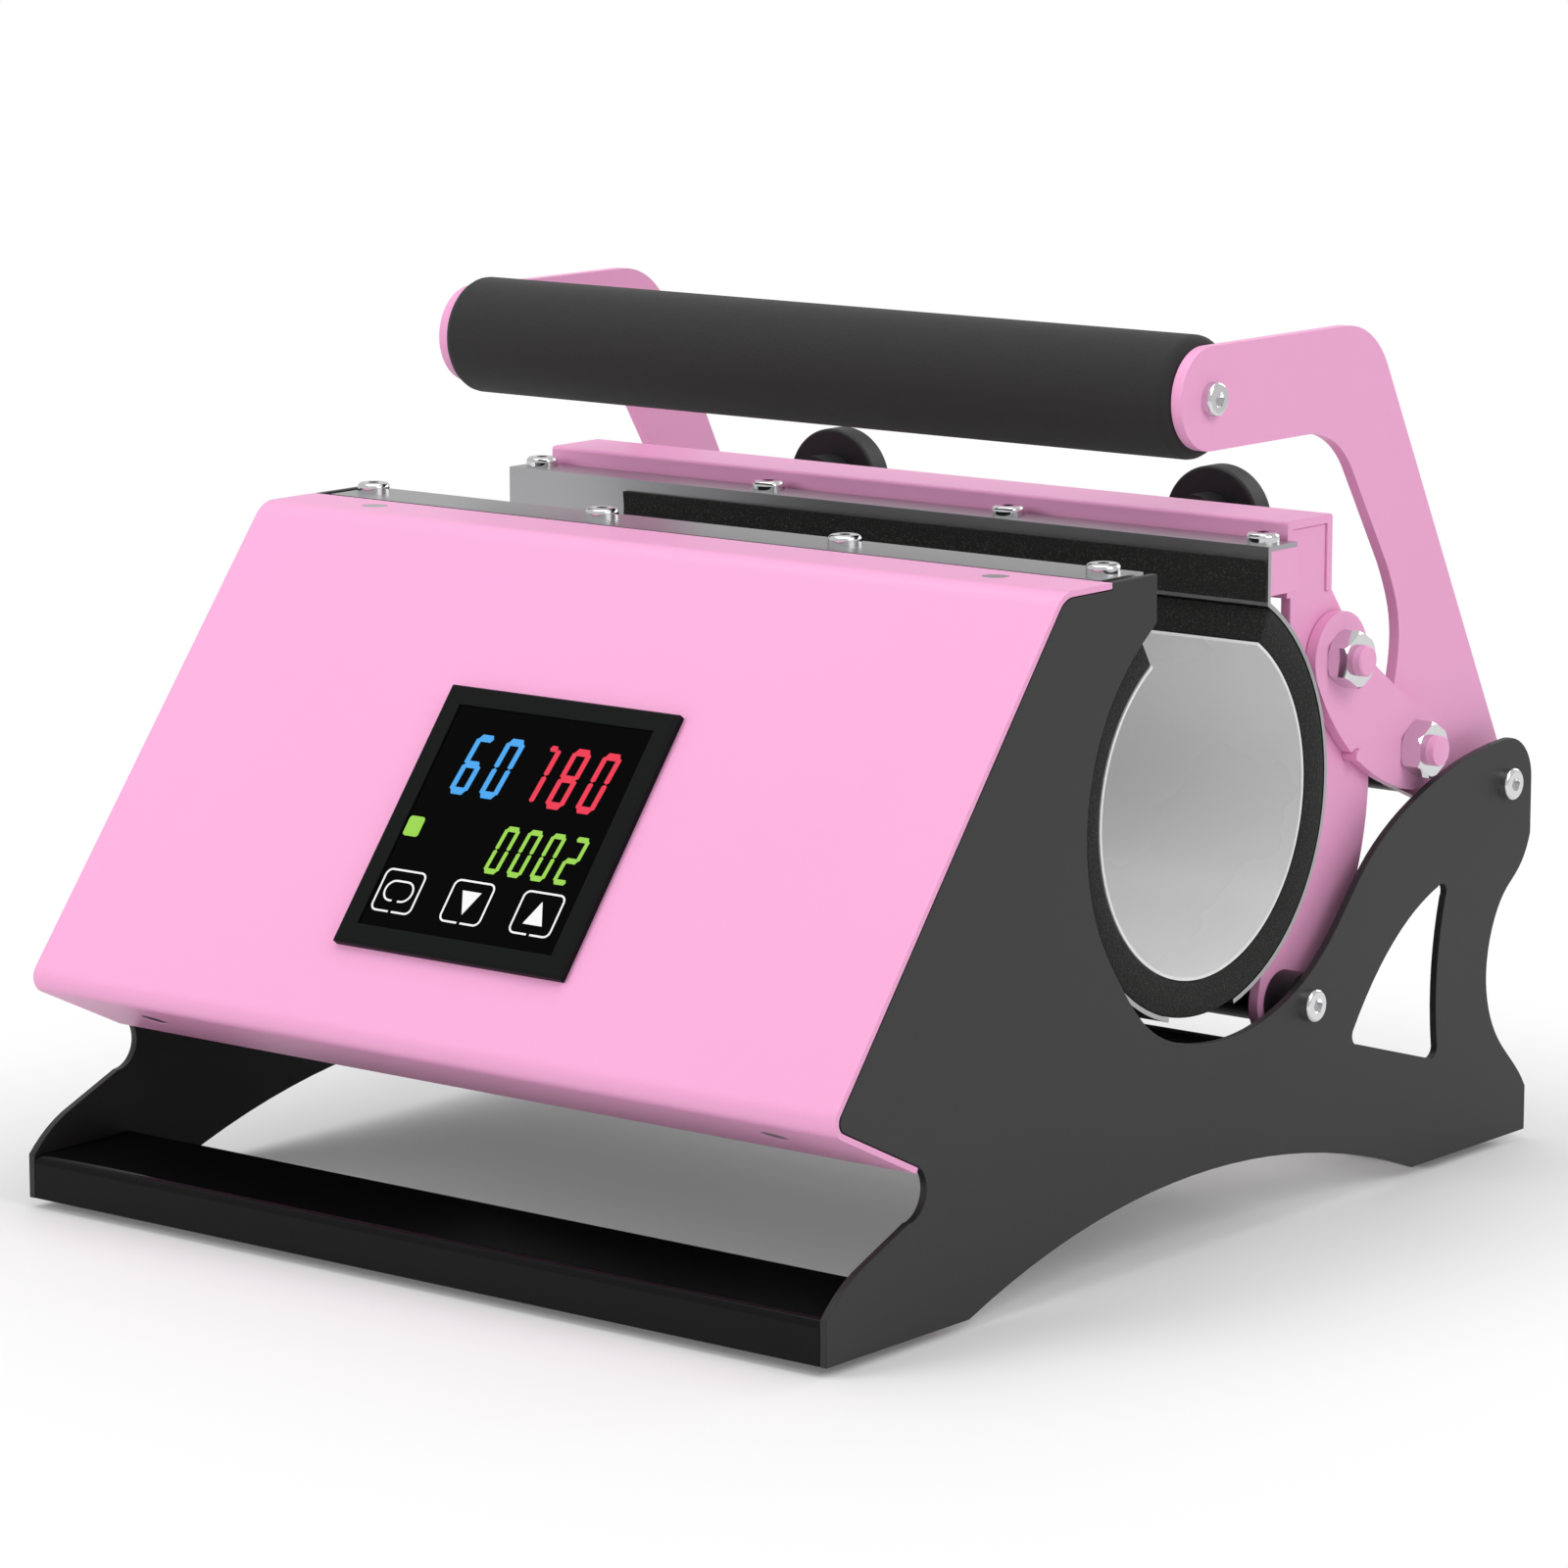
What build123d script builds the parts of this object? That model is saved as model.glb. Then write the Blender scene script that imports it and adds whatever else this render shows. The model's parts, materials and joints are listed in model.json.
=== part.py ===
"""Tumbler heat press, closed, in millimetres.

X runs along the tumbler, -Y is the front with the control panel, +Z is up.
The origin is on the floor, under the middle of the side plates.
Profiles seen from the side are drawn in (back, up) coordinates, measured from
the front bottom corner of the side plates.
"""

import math
import os

from build123d import *

os.makedirs("parts", exist_ok=True)

# Overall sizes
WIDTH = 260.0
DEPTH = 303.0
FOOT_STAND = 2.5
PLATE = 2.0
TOP = 170.5
INNER = WIDTH / 2 - PLATE

# Clearances
RUNNING = 0.05
GAP = 0.3
FIT = 0.1

# Pivots, as (back, up)
EYE_RADIUS = 12.0
HANDLE_PIVOT = (DEPTH - EYE_RADIUS, 96.0)
JAW_PIVOT = (198.5, 52.0)
LINK_JAW = (219.0, 138.0)
LINK_HANDLE = (HANDLE_PIVOT[0] - 37.0, HANDLE_PIVOT[1] + 14.0)
GRIP_CENTRE = (164.0, 209.2)

# Side plates
TOE_LENGTH = 55.0
ARCH_RISE = 17.3
HEEL_LENGTH = 55.0
TOE_HEIGHT = 11.4
HEEL_HEIGHT = 12.0
CRADLE_RADIUS = 56.0
CRADLE_TOP_ANGLE = 124.6
CRADLE_LOW_ANGLE = 216.0
PLATE_NOSE = 129.3

# Pink front cover
COVER_SHEET = 1.5
COVER_TOP_REAR = 110.6
COVER_TOP_BEND = 90.6
COVER_LOW_BEND = (0.5, 55.5)
COVER_LIP_END = (34.0, 39.7)
COVER_TOP_RADIUS = 8.0
COVER_LOW_RADIUS = 4.5
COVER_SCREW_X = WIDTH / 2 - 29.0

# Heating ring and its two jaws
RING = (157.0, 109.3)
BORE_RADIUS = 43.3
LINER = 0.8
SHELL_RADIUS = 54.8
SHELL_SHEET = 1.2
MOUTH_HALF = 27.0
SHELL_END_GAP = 2.7
SHELL_LENGTH = 2 * (INNER - SHELL_END_GAP)
MAT_INSET = 41.3
MAT_START = MAT_INSET - SHELL_LENGTH / 2
FLANGE_FRONT = 18.0
FLANGE_REAR = 12.8
SHELL_END_ANGLE = 75.0
LIP_PAD = 1.0
LIP_PAD_DROP = 3.3
JAW_SCREWS = 4
JAW_SCREW_INSET = 6.2
JAW_SCREW_PITCH = (SHELL_LENGTH - 2 * JAW_SCREW_INSET) / (JAW_SCREWS - 1)
MOUNT_BAR = 11.4

# Clamp bar and jaw end plates
ARM_SHEET = 3.0
ARM_INSET = 6.8
ARM_OUTER = INNER - ARM_INSET
BAR_PROUD = 0.5
BAR_START = 197.8
BAR_DEPTH = 20.3
BAR_TOP = 175.1
BAR_HEIGHT = 19.6
BAR_SHEET = 2.3
BAR_LENGTH = 2 * (ARM_OUTER + BAR_PROUD)
LINK_SHEET = 3.0
HINGE_EYE = 10.5

# Handle
ARM_END_RADIUS = 13.0
ARM_CORNER = (GRIP_CENTRE[0] + 73.0, GRIP_CENTRE[1] + ARM_END_RADIUS)
ARM_CORNER_RADIUS = 22.0
ARM_INNER_CORNER = (GRIP_CENTRE[0] + 56.4, GRIP_CENTRE[1] - ARM_END_RADIUS)
ARM_INNER_RADIUS = 24.0
LINK_LOBE = 10.9
TUBE_RADIUS = 11.0
TUBE_WALL = 2.0
GRIP_RADIUS = 15.5

# Fasteners and shafts
SHAFT_RADIUS = 6.0
SPACER_RADIUS = 8.0
PIN_RADIUS = 4.0
NUT_FLATS = 13.0
NUT_HEIGHT = 5.8
PIN_PROUD = 2.4
HEAD_RADIUS = 4.3
HEAD_HEIGHT = 2.6
SCREW_RADIUS = 2.5
SMALL_SCREW_RADIUS = 2.0
STOP_PIN = (226.6, 111.8)
STOP_PIN_RADIUS = 1.6

# Pressure knobs
KNOB_X = BAR_LENGTH / 2 - 58.3
KNOB_UP = 164.6
KNOB_FACE = 248.0
KNOB_RADIUS = 14.8
KNOB_THICK = 7.6
KNOB_HUB_RADIUS = 8.0
KNOB_HUB = 8.0

# Control panel, measured up the slope of the cover
PANEL = 74.0
PANEL_UP = 62.8
PANEL_PROUD = 2.4
SCREEN = 63.0
CONTROL_BODY = 66.0
CONTROL_DEPTH = 24.0

# Beams and feet
BEAM_DEPTH = 36.5
BEAM_SHEET = 1.5
REAR_BEAM_START = DEPTH - 45.0
CROSS_START = 160.0
CROSS_DEPTH = 26.0
CROSS_UP = 22.0
CROSS_HEIGHT = 22.0
FOOT_RADIUS = 11.0
FOOT_X = INNER - 16.0

# Mains inlet and switch, in the left plate
INLET_AT = (62.0, 76.0)
INLET_SIZE = (27.2, 19.8)
INLET_DEPTH = 22.0
SWITCH_AT = (80.0, 118.0)
SWITCH_SIZE = (19.2, 12.9)
SWITCH_DEPTH = 18.0
FLANGE_LIP = 1.6

TOP_SHEET = TOP - SHELL_SHEET


def side(x):
    """Plane of a side profile at x: its own axes are back and up."""
    return Plane(origin=(x, -DEPTH / 2, FOOT_STAND), x_dir=(0, 1, 0), z_dir=(1, 0, 0))


def beside(point, back, up):
    """A point at a distance behind and above another, in side coordinates."""
    return (point[0] + back, point[1] + up)


def from_rear(inset, up):
    """A point measured forwards from the rear end of the side plate."""
    return (DEPTH - inset, up)


def ring_point(radius, degrees):
    """Point on a circle about the ring's axis, in side coordinates."""
    angle = math.radians(degrees)
    return (RING[0] + radius * math.cos(angle), RING[1] + radius * math.sin(angle))


def moved(start, end, along, inward):
    """Point at a distance along start to end, moved inward to its left."""
    length = math.dist(start, end)
    ux = (end[0] - start[0]) / length
    uy = (end[1] - start[1]) / length
    return (start[0] + ux * along - uy * inward, start[1] + uy * along + ux * inward)


def crossing(a, b, c, d):
    """Where the line through a and b meets the line through c and d."""
    abx, aby, cdx, cdy = b[0] - a[0], b[1] - a[1], d[0] - c[0], d[1] - c[1]
    t = ((c[0] - a[0]) * cdy - (c[1] - a[1]) * cdx) / (abx * cdy - aby * cdx)
    return (a[0] + t * abx, a[1] + t * aby)


def cover_line(inward):
    """The four corners of the cover's side profile, set inward by a distance."""
    corners = [COVER_LIP_END, COVER_LOW_BEND, (COVER_TOP_BEND, TOP), (COVER_TOP_REAR, TOP)]
    shifted = []
    for start, end in zip(corners, corners[1:]):
        length = math.dist(start, end)
        shifted.append((moved(start, end, 0, -inward), moved(start, end, length, -inward)))
    low = crossing(*shifted[0], *shifted[1])
    high = crossing(*shifted[1], *shifted[2])
    return [shifted[0][0], low, high, shifted[2][1]]


def save(piece, name):
    """Label a finished piece and write its file."""
    piece.part.label = name
    export_step(piece.part, f"parts/{name}.step")


SLOPE_FOOT = COVER_LOW_BEND
SLOPE_HEAD = (COVER_TOP_BEND, TOP)
SLOPE_ANGLE = math.atan2(SLOPE_HEAD[1] - SLOPE_FOOT[1], SLOPE_HEAD[0] - SLOPE_FOOT[0])
PANEL_AT = moved(SLOPE_FOOT, SLOPE_HEAD, PANEL_UP, 0)
# The panel's plane: its own axes are +X and up the slope, its normal points out.
PANEL_PLANE = Plane(
    origin=(0, PANEL_AT[0] - DEPTH / 2, PANEL_AT[1] + FOOT_STAND),
    x_dir=(1, 0, 0),
    z_dir=(0, -math.sin(SLOPE_ANGLE), math.cos(SLOPE_ANGLE)),
)


# Side plates
with BuildPart() as side_plate_right:
    with BuildSketch(side(INNER)):
        with BuildLine():
            toe_end = (TOE_LENGTH, 0)
            heel_start = (DEPTH - HEEL_LENGTH, 0)
            arch_top = ((toe_end[0] + heel_start[0]) / 2, ARCH_RISE)
            eye_top = (HANDLE_PIVOT[0] - 1, HANDLE_PIVOT[1] + EYE_RADIUS)
            eye_rear = (HANDLE_PIVOT[0] + EYE_RADIUS, HANDLE_PIVOT[1])
            waist = DEPTH - 20.5
            cradle_low = ring_point(CRADLE_RADIUS, CRADLE_LOW_ANGLE)
            cradle_mid = ring_point(CRADLE_RADIUS, 180)
            cradle_top = ring_point(CRADLE_RADIUS, CRADLE_TOP_ANGLE)
            Line((0, 0), toe_end)
            ThreePointArc(toe_end, arch_top, heel_start)
            Line(heel_start, (DEPTH, 0))
            Line((DEPTH, 0), (DEPTH, HEEL_HEIGHT))
            Spline(
                (DEPTH, HEEL_HEIGHT), from_rear(14.5, 28.0), (waist, 46.0), from_rear(12.0, 67.0),
                (DEPTH, 81.0),
                tangents=((-0.6, 1.0), (0.35, 1.0)),
            )
            Line((DEPTH, 81.0), eye_rear)
            RadiusArc(eye_rear, eye_top, -EYE_RADIUS)
            Spline(
                eye_top, from_rear(41.3, 103.4), from_rear(60.0, 96.6), beside(JAW_PIVOT, 25.4, 32.4),
                beside(JAW_PIVOT, 10.8, 17.0), beside(JAW_PIVOT, -3.7, 6.0), beside(JAW_PIVOT, -19.7, -0.2),
                beside(RING, 3.0, -59.7), beside(RING, -19.0, -56.3), cradle_low,
                tangents=((-1, -0.05), (-0.588, 0.809)),
            )
            ThreePointArc(cradle_low, cradle_mid, cradle_top)
            behind_cover = COVER_TOP_REAR + GAP
            under = cover_line(COVER_SHEET + GAP)
            lip_inner = under[0]
            Polyline(cradle_top, (PLATE_NOSE, cradle_top[1] + 3.2), (PLATE_NOSE, TOP))
            Polyline((PLATE_NOSE, TOP), (behind_cover, TOP), (behind_cover, under[3][1]))
            FilletPolyline(
                (behind_cover, under[3][1]), under[2], under[1], lip_inner,
                radius=[COVER_TOP_RADIUS - COVER_SHEET, COVER_LOW_RADIUS - COVER_SHEET],
            )
            ThreePointArc(lip_inner, (37.8, 34.0), (31.0, 28.2))
            Line((31.0, 28.2), (12.0, 20.4))
            ThreePointArc((12.0, 20.4), (5.4, 16.4), (0, TOE_HEIGHT))
            Line((0, TOE_HEIGHT), (0, 0))
        make_face()
        # Triangular window in the rear leg
        with BuildLine():
            window_front, window_head = from_rear(84.2, 41.5), from_rear(45.0, 73.2)
            window_rear, window_heel = from_rear(41.5, 70.0), from_rear(44.2, 30.4)
            window_sill, window_toe = from_rear(48.0, 28.0), from_rear(81.5, 37.6)
            Spline(window_front, from_rear(70.7, 57.6), from_rear(59.5, 66.4), window_head)
            Spline(window_rear, from_rear(44.8, 52.4), window_heel)
            Line(window_sill, window_toe)
            ThreePointArc(window_head, from_rear(41.8, 73.2), window_rear)
            ThreePointArc(window_heel, from_rear(45.4, 28.2), window_sill)
            ThreePointArc(window_toe, from_rear(84.1, 39.0), window_front)
        make_face(mode=Mode.SUBTRACT)
        with Locations(HANDLE_PIVOT, JAW_PIVOT):
            Circle(SCREW_RADIUS + RUNNING, mode=Mode.SUBTRACT)
    extrude(amount=PLATE)
save(side_plate_right, "side_plate_right")

with BuildPart() as side_plate_left:
    mirror(side_plate_right.part, about=Plane.YZ)
    with BuildSketch(side(-WIDTH / 2)):
        with Locations(INLET_AT):
            Rectangle(INLET_SIZE[0] + 2 * GAP, INLET_SIZE[1] + 2 * GAP)
        with Locations(SWITCH_AT):
            Rectangle(SWITCH_SIZE[0] + 2 * GAP, SWITCH_SIZE[1] + 2 * GAP)
    extrude(amount=PLATE, mode=Mode.SUBTRACT)
save(side_plate_left, "side_plate_left")


# Folded beams between the side plates
def beam(start, depth, low, height):
    """Channel with its open side down, from one side plate to the other."""
    with BuildPart() as channel:
        with BuildSketch(side(-INNER)):
            with BuildLine():
                FilletPolyline(
                    (start, low), (start, low + height), (start + depth, low + height),
                    (start + depth, low), (start + depth - BEAM_SHEET, low),
                    (start + depth - BEAM_SHEET, low + height - BEAM_SHEET),
                    (start + BEAM_SHEET, low + height - BEAM_SHEET), (start + BEAM_SHEET, low),
                    radius=[0, 2.5, 2.5, 0, 0, 1.0, 1.0, 0], close=True,
                )
            make_face()
        extrude(amount=2 * INNER)
    return channel


front_beam = beam(0, BEAM_DEPTH, 0, TOE_HEIGHT)
save(front_beam, "front_beam")
rear_beam = beam(REAR_BEAM_START, BEAM_DEPTH, 0, TOE_HEIGHT)
save(rear_beam, "rear_beam")
cross_beam = beam(CROSS_START, CROSS_DEPTH, CROSS_UP, CROSS_HEIGHT)
save(cross_beam, "cross_beam")

foot_seat = FOOT_STAND + TOE_HEIGHT - BEAM_SHEET
for foot_name, foot_back in (("feet_front", 0), ("feet_rear", REAR_BEAM_START)):
    with BuildPart() as feet:
        with BuildSketch(Plane(origin=(0, foot_back + BEAM_DEPTH / 2 - DEPTH / 2, 0))):
            with Locations((-FOOT_X, 0), (FOOT_X, 0)):
                Circle(FOOT_RADIUS)
        extrude(amount=foot_seat, taper=2)
    save(feet, foot_name)


# Front cover, one folded sheet, cut for the control panel and its screws
screw_back_top = (COVER_TOP_REAR + COVER_TOP_BEND) / 2 + 2
lip_length = math.dist(COVER_LIP_END, COVER_LOW_BEND)
LIP_PLANE_AT = moved(COVER_LIP_END, COVER_LOW_BEND, lip_length * 0.5, 0)
lip_angle = math.atan2(COVER_LIP_END[1] - COVER_LOW_BEND[1], COVER_LIP_END[0] - COVER_LOW_BEND[0])
LIP_PLANE = Plane(
    origin=(0, LIP_PLANE_AT[0] - DEPTH / 2, LIP_PLANE_AT[1] + FOOT_STAND),
    x_dir=(1, 0, 0),
    z_dir=(0, math.sin(lip_angle), -math.cos(lip_angle)),
)
TOP_PLANE = Plane(origin=(0, screw_back_top - DEPTH / 2, TOP + FOOT_STAND))

with BuildPart() as front_cover:
    outer = cover_line(0)
    inner = cover_line(COVER_SHEET)
    with BuildSketch(side(-WIDTH / 2)):
        with BuildLine():
            FilletPolyline(
                *outer, *reversed(inner), close=True,
                radius=[
                    0, COVER_LOW_RADIUS, COVER_TOP_RADIUS, 0,
                    0, COVER_TOP_RADIUS - COVER_SHEET, COVER_LOW_RADIUS - COVER_SHEET, 0,
                ],
            )
        make_face()
    extrude(amount=WIDTH)
    with BuildSketch(PANEL_PLANE):
        Rectangle(CONTROL_BODY + 2 * GAP, CONTROL_BODY + 2 * GAP)
    extrude(amount=-3 * COVER_SHEET, mode=Mode.SUBTRACT)
    for plane in (TOP_PLANE, LIP_PLANE):
        with Locations(plane):
            with Locations((-COVER_SCREW_X, 0), (COVER_SCREW_X, 0)):
                CounterSinkHole(SMALL_SCREW_RADIUS + FIT, 3.4 + FIT, depth=4 * COVER_SHEET)
save(front_cover, "front_cover")

# Rails behind the cover's two lips, and the countersunk screws into them
RAIL_SHEET = 2.0
RAIL_LEG = 11.5
RAIL_FLAT = 13.0
RAIL_EDGE = 4.0
with BuildPart() as cover_rail_top:
    rail_top = TOP - COVER_SHEET
    rail_rear = COVER_TOP_REAR - 0.6
    rail_front = rail_rear - RAIL_FLAT
    rail_inner = rail_rear - RAIL_SHEET
    with BuildSketch(side(-INNER)):
        with BuildLine():
            Polyline(
                (rail_front, rail_top), (rail_rear, rail_top), (rail_rear, rail_top - RAIL_LEG),
                (rail_inner, rail_top - RAIL_LEG), (rail_inner, rail_top - RAIL_SHEET),
                (rail_front, rail_top - RAIL_SHEET), close=True,
            )
        make_face()
    extrude(amount=2 * INNER)
    with Locations(TOP_PLANE):
        with Locations((-COVER_SCREW_X, 0), (COVER_SCREW_X, 0)):
            Hole(SMALL_SCREW_RADIUS + RUNNING, depth=8)
save(cover_rail_top, "cover_rail_top")

with BuildPart() as cover_rail_bottom:
    with BuildSketch(side(-INNER)):
        with BuildLine():
            rail_end = RAIL_EDGE + 22.0
            corners = [
                (RAIL_EDGE, 0), (rail_end, 0), (rail_end, RAIL_SHEET),
                (RAIL_EDGE + RAIL_SHEET, RAIL_SHEET), (RAIL_EDGE + RAIL_SHEET, RAIL_LEG), (RAIL_EDGE, RAIL_LEG),
            ]
            Polyline(
                *[moved(COVER_LIP_END, COVER_LOW_BEND, along, -COVER_SHEET - deep) for along, deep in corners],
                close=True,
            )
        make_face()
    extrude(amount=2 * INNER)
    with Locations(LIP_PLANE):
        with Locations((-COVER_SCREW_X, 0), (COVER_SCREW_X, 0)):
            Hole(SMALL_SCREW_RADIUS + RUNNING, depth=8)
save(cover_rail_bottom, "cover_rail_bottom")

with BuildPart() as cover_screws:
    for plane in (TOP_PLANE, LIP_PLANE):
        with BuildSketch(plane.offset(-0.1)):
            with Locations((-COVER_SCREW_X, 0), (COVER_SCREW_X, 0)):
                Circle(3.3)
        extrude(amount=-1.3, taper=45)
        with BuildSketch(plane.offset(-1.0)):
            with Locations((-COVER_SCREW_X, 0), (COVER_SCREW_X, 0)):
                Circle(SMALL_SCREW_RADIUS)
        extrude(amount=-5)
save(cover_screws, "cover_screws")

PANEL_FLOOR = CROSS_UP + CROSS_HEIGHT
FLOOR_SHEET = 1.2
with BuildPart() as bottom_panel:
    with BuildSketch(side(-INNER + GAP)):
        floor_front = COVER_LIP_END[0] + 0.9
        floor_rear = CROSS_START + 16.0
        with Locations(((floor_front + floor_rear) / 2, PANEL_FLOOR + FLOOR_SHEET / 2)):
            Rectangle(floor_rear - floor_front, FLOOR_SHEET)
    extrude(amount=2 * (INNER - GAP))
save(bottom_panel, "bottom_panel")


# Control panel: frame, glass, body behind the sheet
with BuildPart() as controller_bezel:
    with BuildSketch(PANEL_PLANE):
        Rectangle(PANEL, PANEL)
        Rectangle(SCREEN, SCREEN, mode=Mode.SUBTRACT)
    extrude(amount=PANEL_PROUD)
    panel_axis = Axis(PANEL_PLANE.origin, PANEL_PLANE.z_dir)
    chamfer(controller_bezel.faces().sort_by(panel_axis)[-1].outer_wire().edges(), 0.6)
save(controller_bezel, "controller_bezel")

with BuildPart() as display_panel:
    with BuildSketch(PANEL_PLANE):
        Rectangle(SCREEN - 2 * FIT, SCREEN - 2 * FIT)
    extrude(amount=PANEL_PROUD - 0.5)
save(display_panel, "display_panel")

with BuildPart() as controller_body:
    with BuildSketch(PANEL_PLANE):
        Rectangle(CONTROL_BODY, CONTROL_BODY)
    extrude(amount=-CONTROL_DEPTH)
    fillet(controller_body.edges().filter_by(panel_axis), 1.5)
save(controller_body, "controller_body")

RELAY_AT = (40.0, 96.0)
RELAY_BASE = (45.0, 24.0, 6.0)
RELAY_CAP = (38.0, 16.0, 3.0)
with BuildPart() as power_relay:
    relay_seat = PANEL_FLOOR + FLOOR_SHEET + FOOT_STAND
    with BuildSketch(Plane(origin=(RELAY_AT[0], RELAY_AT[1] - DEPTH / 2, relay_seat))):
        Rectangle(RELAY_BASE[0], RELAY_BASE[1])
    extrude(amount=RELAY_BASE[2])
    with BuildSketch(Plane(origin=(RELAY_AT[0], RELAY_AT[1] - DEPTH / 2, relay_seat + RELAY_BASE[2]))):
        Rectangle(RELAY_CAP[0], RELAY_CAP[1])
    extrude(amount=RELAY_CAP[2])
save(power_relay, "power_relay")


# Mains inlet and rocker switch, pushed into the left plate from outside
def socket(at, size, depth, cavity, cavity_depth):
    """Snap-in body with a thin flange outside and an open front."""
    with BuildPart() as body:
        with BuildSketch(side(-WIDTH / 2)):
            with Locations(at):
                Rectangle(*size)
        extrude(amount=depth)
        with BuildSketch(side(-WIDTH / 2)):
            with Locations(at):
                RectangleRounded(size[0] + 4, size[1] + 4, 1.5)
        extrude(amount=-FLANGE_LIP)
        with BuildSketch(side(-WIDTH / 2 - FLANGE_LIP)):
            with Locations(at):
                Rectangle(*cavity)
        extrude(amount=cavity_depth, mode=Mode.SUBTRACT)
    return body


INLET_CAVITY = (21.5, 14.5)
power_inlet = socket(INLET_AT, INLET_SIZE, INLET_DEPTH, INLET_CAVITY, 17)
with BuildPart() as inlet_pins:
    with BuildSketch(side(-WIDTH / 2 - FLANGE_LIP + 4)):
        with Locations(INLET_AT):
            with Locations((-7, -1), (0, 2), (7, -1)):
                Rectangle(2, 4)
    extrude(amount=13)
save(power_inlet, "power_inlet")
save(inlet_pins, "inlet_pins")

SWITCH_CAVITY = (15.0, 9.4)
ROCKER_DEPTH = 4.0
ROCKER_PIN_RADIUS = 1.0
ROCKER_PIN_SEAT = 1.2
rocker_axis_x = -WIDTH / 2 - FLANGE_LIP + ROCKER_DEPTH
rocker_pin_half = SWITCH_CAVITY[1] / 2 + ROCKER_PIN_SEAT
rocker_plane = Plane(origin=(rocker_axis_x, SWITCH_AT[0] - DEPTH / 2, SWITCH_AT[1] + FOOT_STAND))
switch_body = socket(SWITCH_AT, SWITCH_SIZE, SWITCH_DEPTH, SWITCH_CAVITY, 8)
with BuildPart() as power_switch:
    add(switch_body.part)
    with BuildSketch(rocker_plane):
        Circle(ROCKER_PIN_RADIUS + RUNNING)
    extrude(amount=rocker_pin_half + RUNNING, both=True, mode=Mode.SUBTRACT)
save(power_switch, "power_switch")

with BuildPart() as power_rocker:
    half = SWITCH_CAVITY[0] / 2 - GAP
    with BuildSketch(rocker_plane):
        with BuildLine():
            Polyline((0, half - 0.6), (-3.6, half - 0.6), (-2.8, 0), (-4.8, -half + 0.6), (0, -half + 0.6))
            ThreePointArc((0, -half + 0.6), (1.6, 0), (0, half - 0.6))
        make_face()
    extrude(amount=SWITCH_CAVITY[1] / 2 - GAP, both=True)
    with BuildSketch(rocker_plane):
        Circle(ROCKER_PIN_RADIUS)
    extrude(amount=rocker_pin_half, both=True)
save(power_rocker, "power_rocker")


# Shafts, spacers and the screws that hold them to the side plates
for shaft_name, pivot in (("handle_shaft", HANDLE_PIVOT), ("jaw_shaft", JAW_PIVOT)):
    with BuildPart() as shaft:
        with BuildSketch(side(-INNER)):
            with Locations(pivot):
                Circle(SHAFT_RADIUS)
        extrude(amount=2 * INNER)
        for x, depth in ((-INNER, 12), (INNER, -12)):
            with BuildSketch(side(x)):
                with Locations(pivot):
                    Circle(SCREW_RADIUS + RUNNING)
            extrude(amount=depth, mode=Mode.SUBTRACT)
    save(shaft, shaft_name)

with BuildPart() as shaft_spacers:
    spacer_start = ARM_OUTER + GAP
    with BuildSketch(side(spacer_start)):
        with Locations(HANDLE_PIVOT, JAW_PIVOT):
            Circle(SPACER_RADIUS)
            Circle(SHAFT_RADIUS + RUNNING, mode=Mode.SUBTRACT)
    extrude(amount=INNER - spacer_start)
    mirror(about=Plane.YZ)
save(shaft_spacers, "shaft_spacers")


def button_screws(at, head_x, length):
    """A socket screw through each side, head outwards at x = head_x and mirrored."""
    with BuildPart() as screws:
        with BuildSketch(side(head_x)):
            with Locations(*at):
                Circle(HEAD_RADIUS)
        extrude(amount=HEAD_HEIGHT)
        fillet(screws.faces().sort_by(Axis.X)[-1 * len(at):].edges(), 0.9)
        with BuildSketch(side(head_x + HEAD_HEIGHT)):
            with Locations(*at):
                RegularPolygon(2.0, 6)
        extrude(amount=-1.5, mode=Mode.SUBTRACT)
        with BuildSketch(side(head_x)):
            with Locations(*at):
                Circle(SCREW_RADIUS)
        extrude(amount=-length)
        mirror(about=Plane.YZ)
    return screws


save(button_screws([HANDLE_PIVOT, JAW_PIVOT], WIDTH / 2, PLATE + 10), "shaft_screws")


# The two jaws: bent sheet shells, lined with felt and a heating liner
def jaw_shell(hand, flange):
    """Half shell with an upright lip and a flange, hand +1 rear or -1 front."""
    centre = RING[0]

    def at(radius, degrees):
        point = ring_point(radius, degrees)
        return (centre + hand * (point[0] - centre), point[1])

    inner_radius = SHELL_RADIUS - SHELL_SHEET
    lip_outer = MOUTH_HALF + SHELL_SHEET
    inner_angle = math.degrees(math.acos(MOUTH_HALF / inner_radius))
    outer_angle = math.degrees(math.acos(lip_outer / SHELL_RADIUS))
    end = -SHELL_END_ANGLE
    mouth = centre + hand * MOUTH_HALF
    back = centre + hand * lip_outer
    flange_end = centre + hand * (MOUTH_HALF + flange)
    with BuildPart() as shell:
        with BuildSketch(side(-SHELL_LENGTH / 2)):
            with BuildLine():
                ThreePointArc(at(inner_radius, end), at(inner_radius, 0), at(inner_radius, inner_angle))
                Polyline(
                    at(inner_radius, inner_angle), (mouth, TOP), (flange_end, TOP),
                    (flange_end, TOP_SHEET), (back, TOP_SHEET), at(SHELL_RADIUS, outer_angle),
                )
                ThreePointArc(at(SHELL_RADIUS, outer_angle), at(SHELL_RADIUS, 0), at(SHELL_RADIUS, end))
                Line(at(SHELL_RADIUS, end), at(inner_radius, end))
            make_face()
        extrude(amount=SHELL_LENGTH)
    return shell


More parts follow.
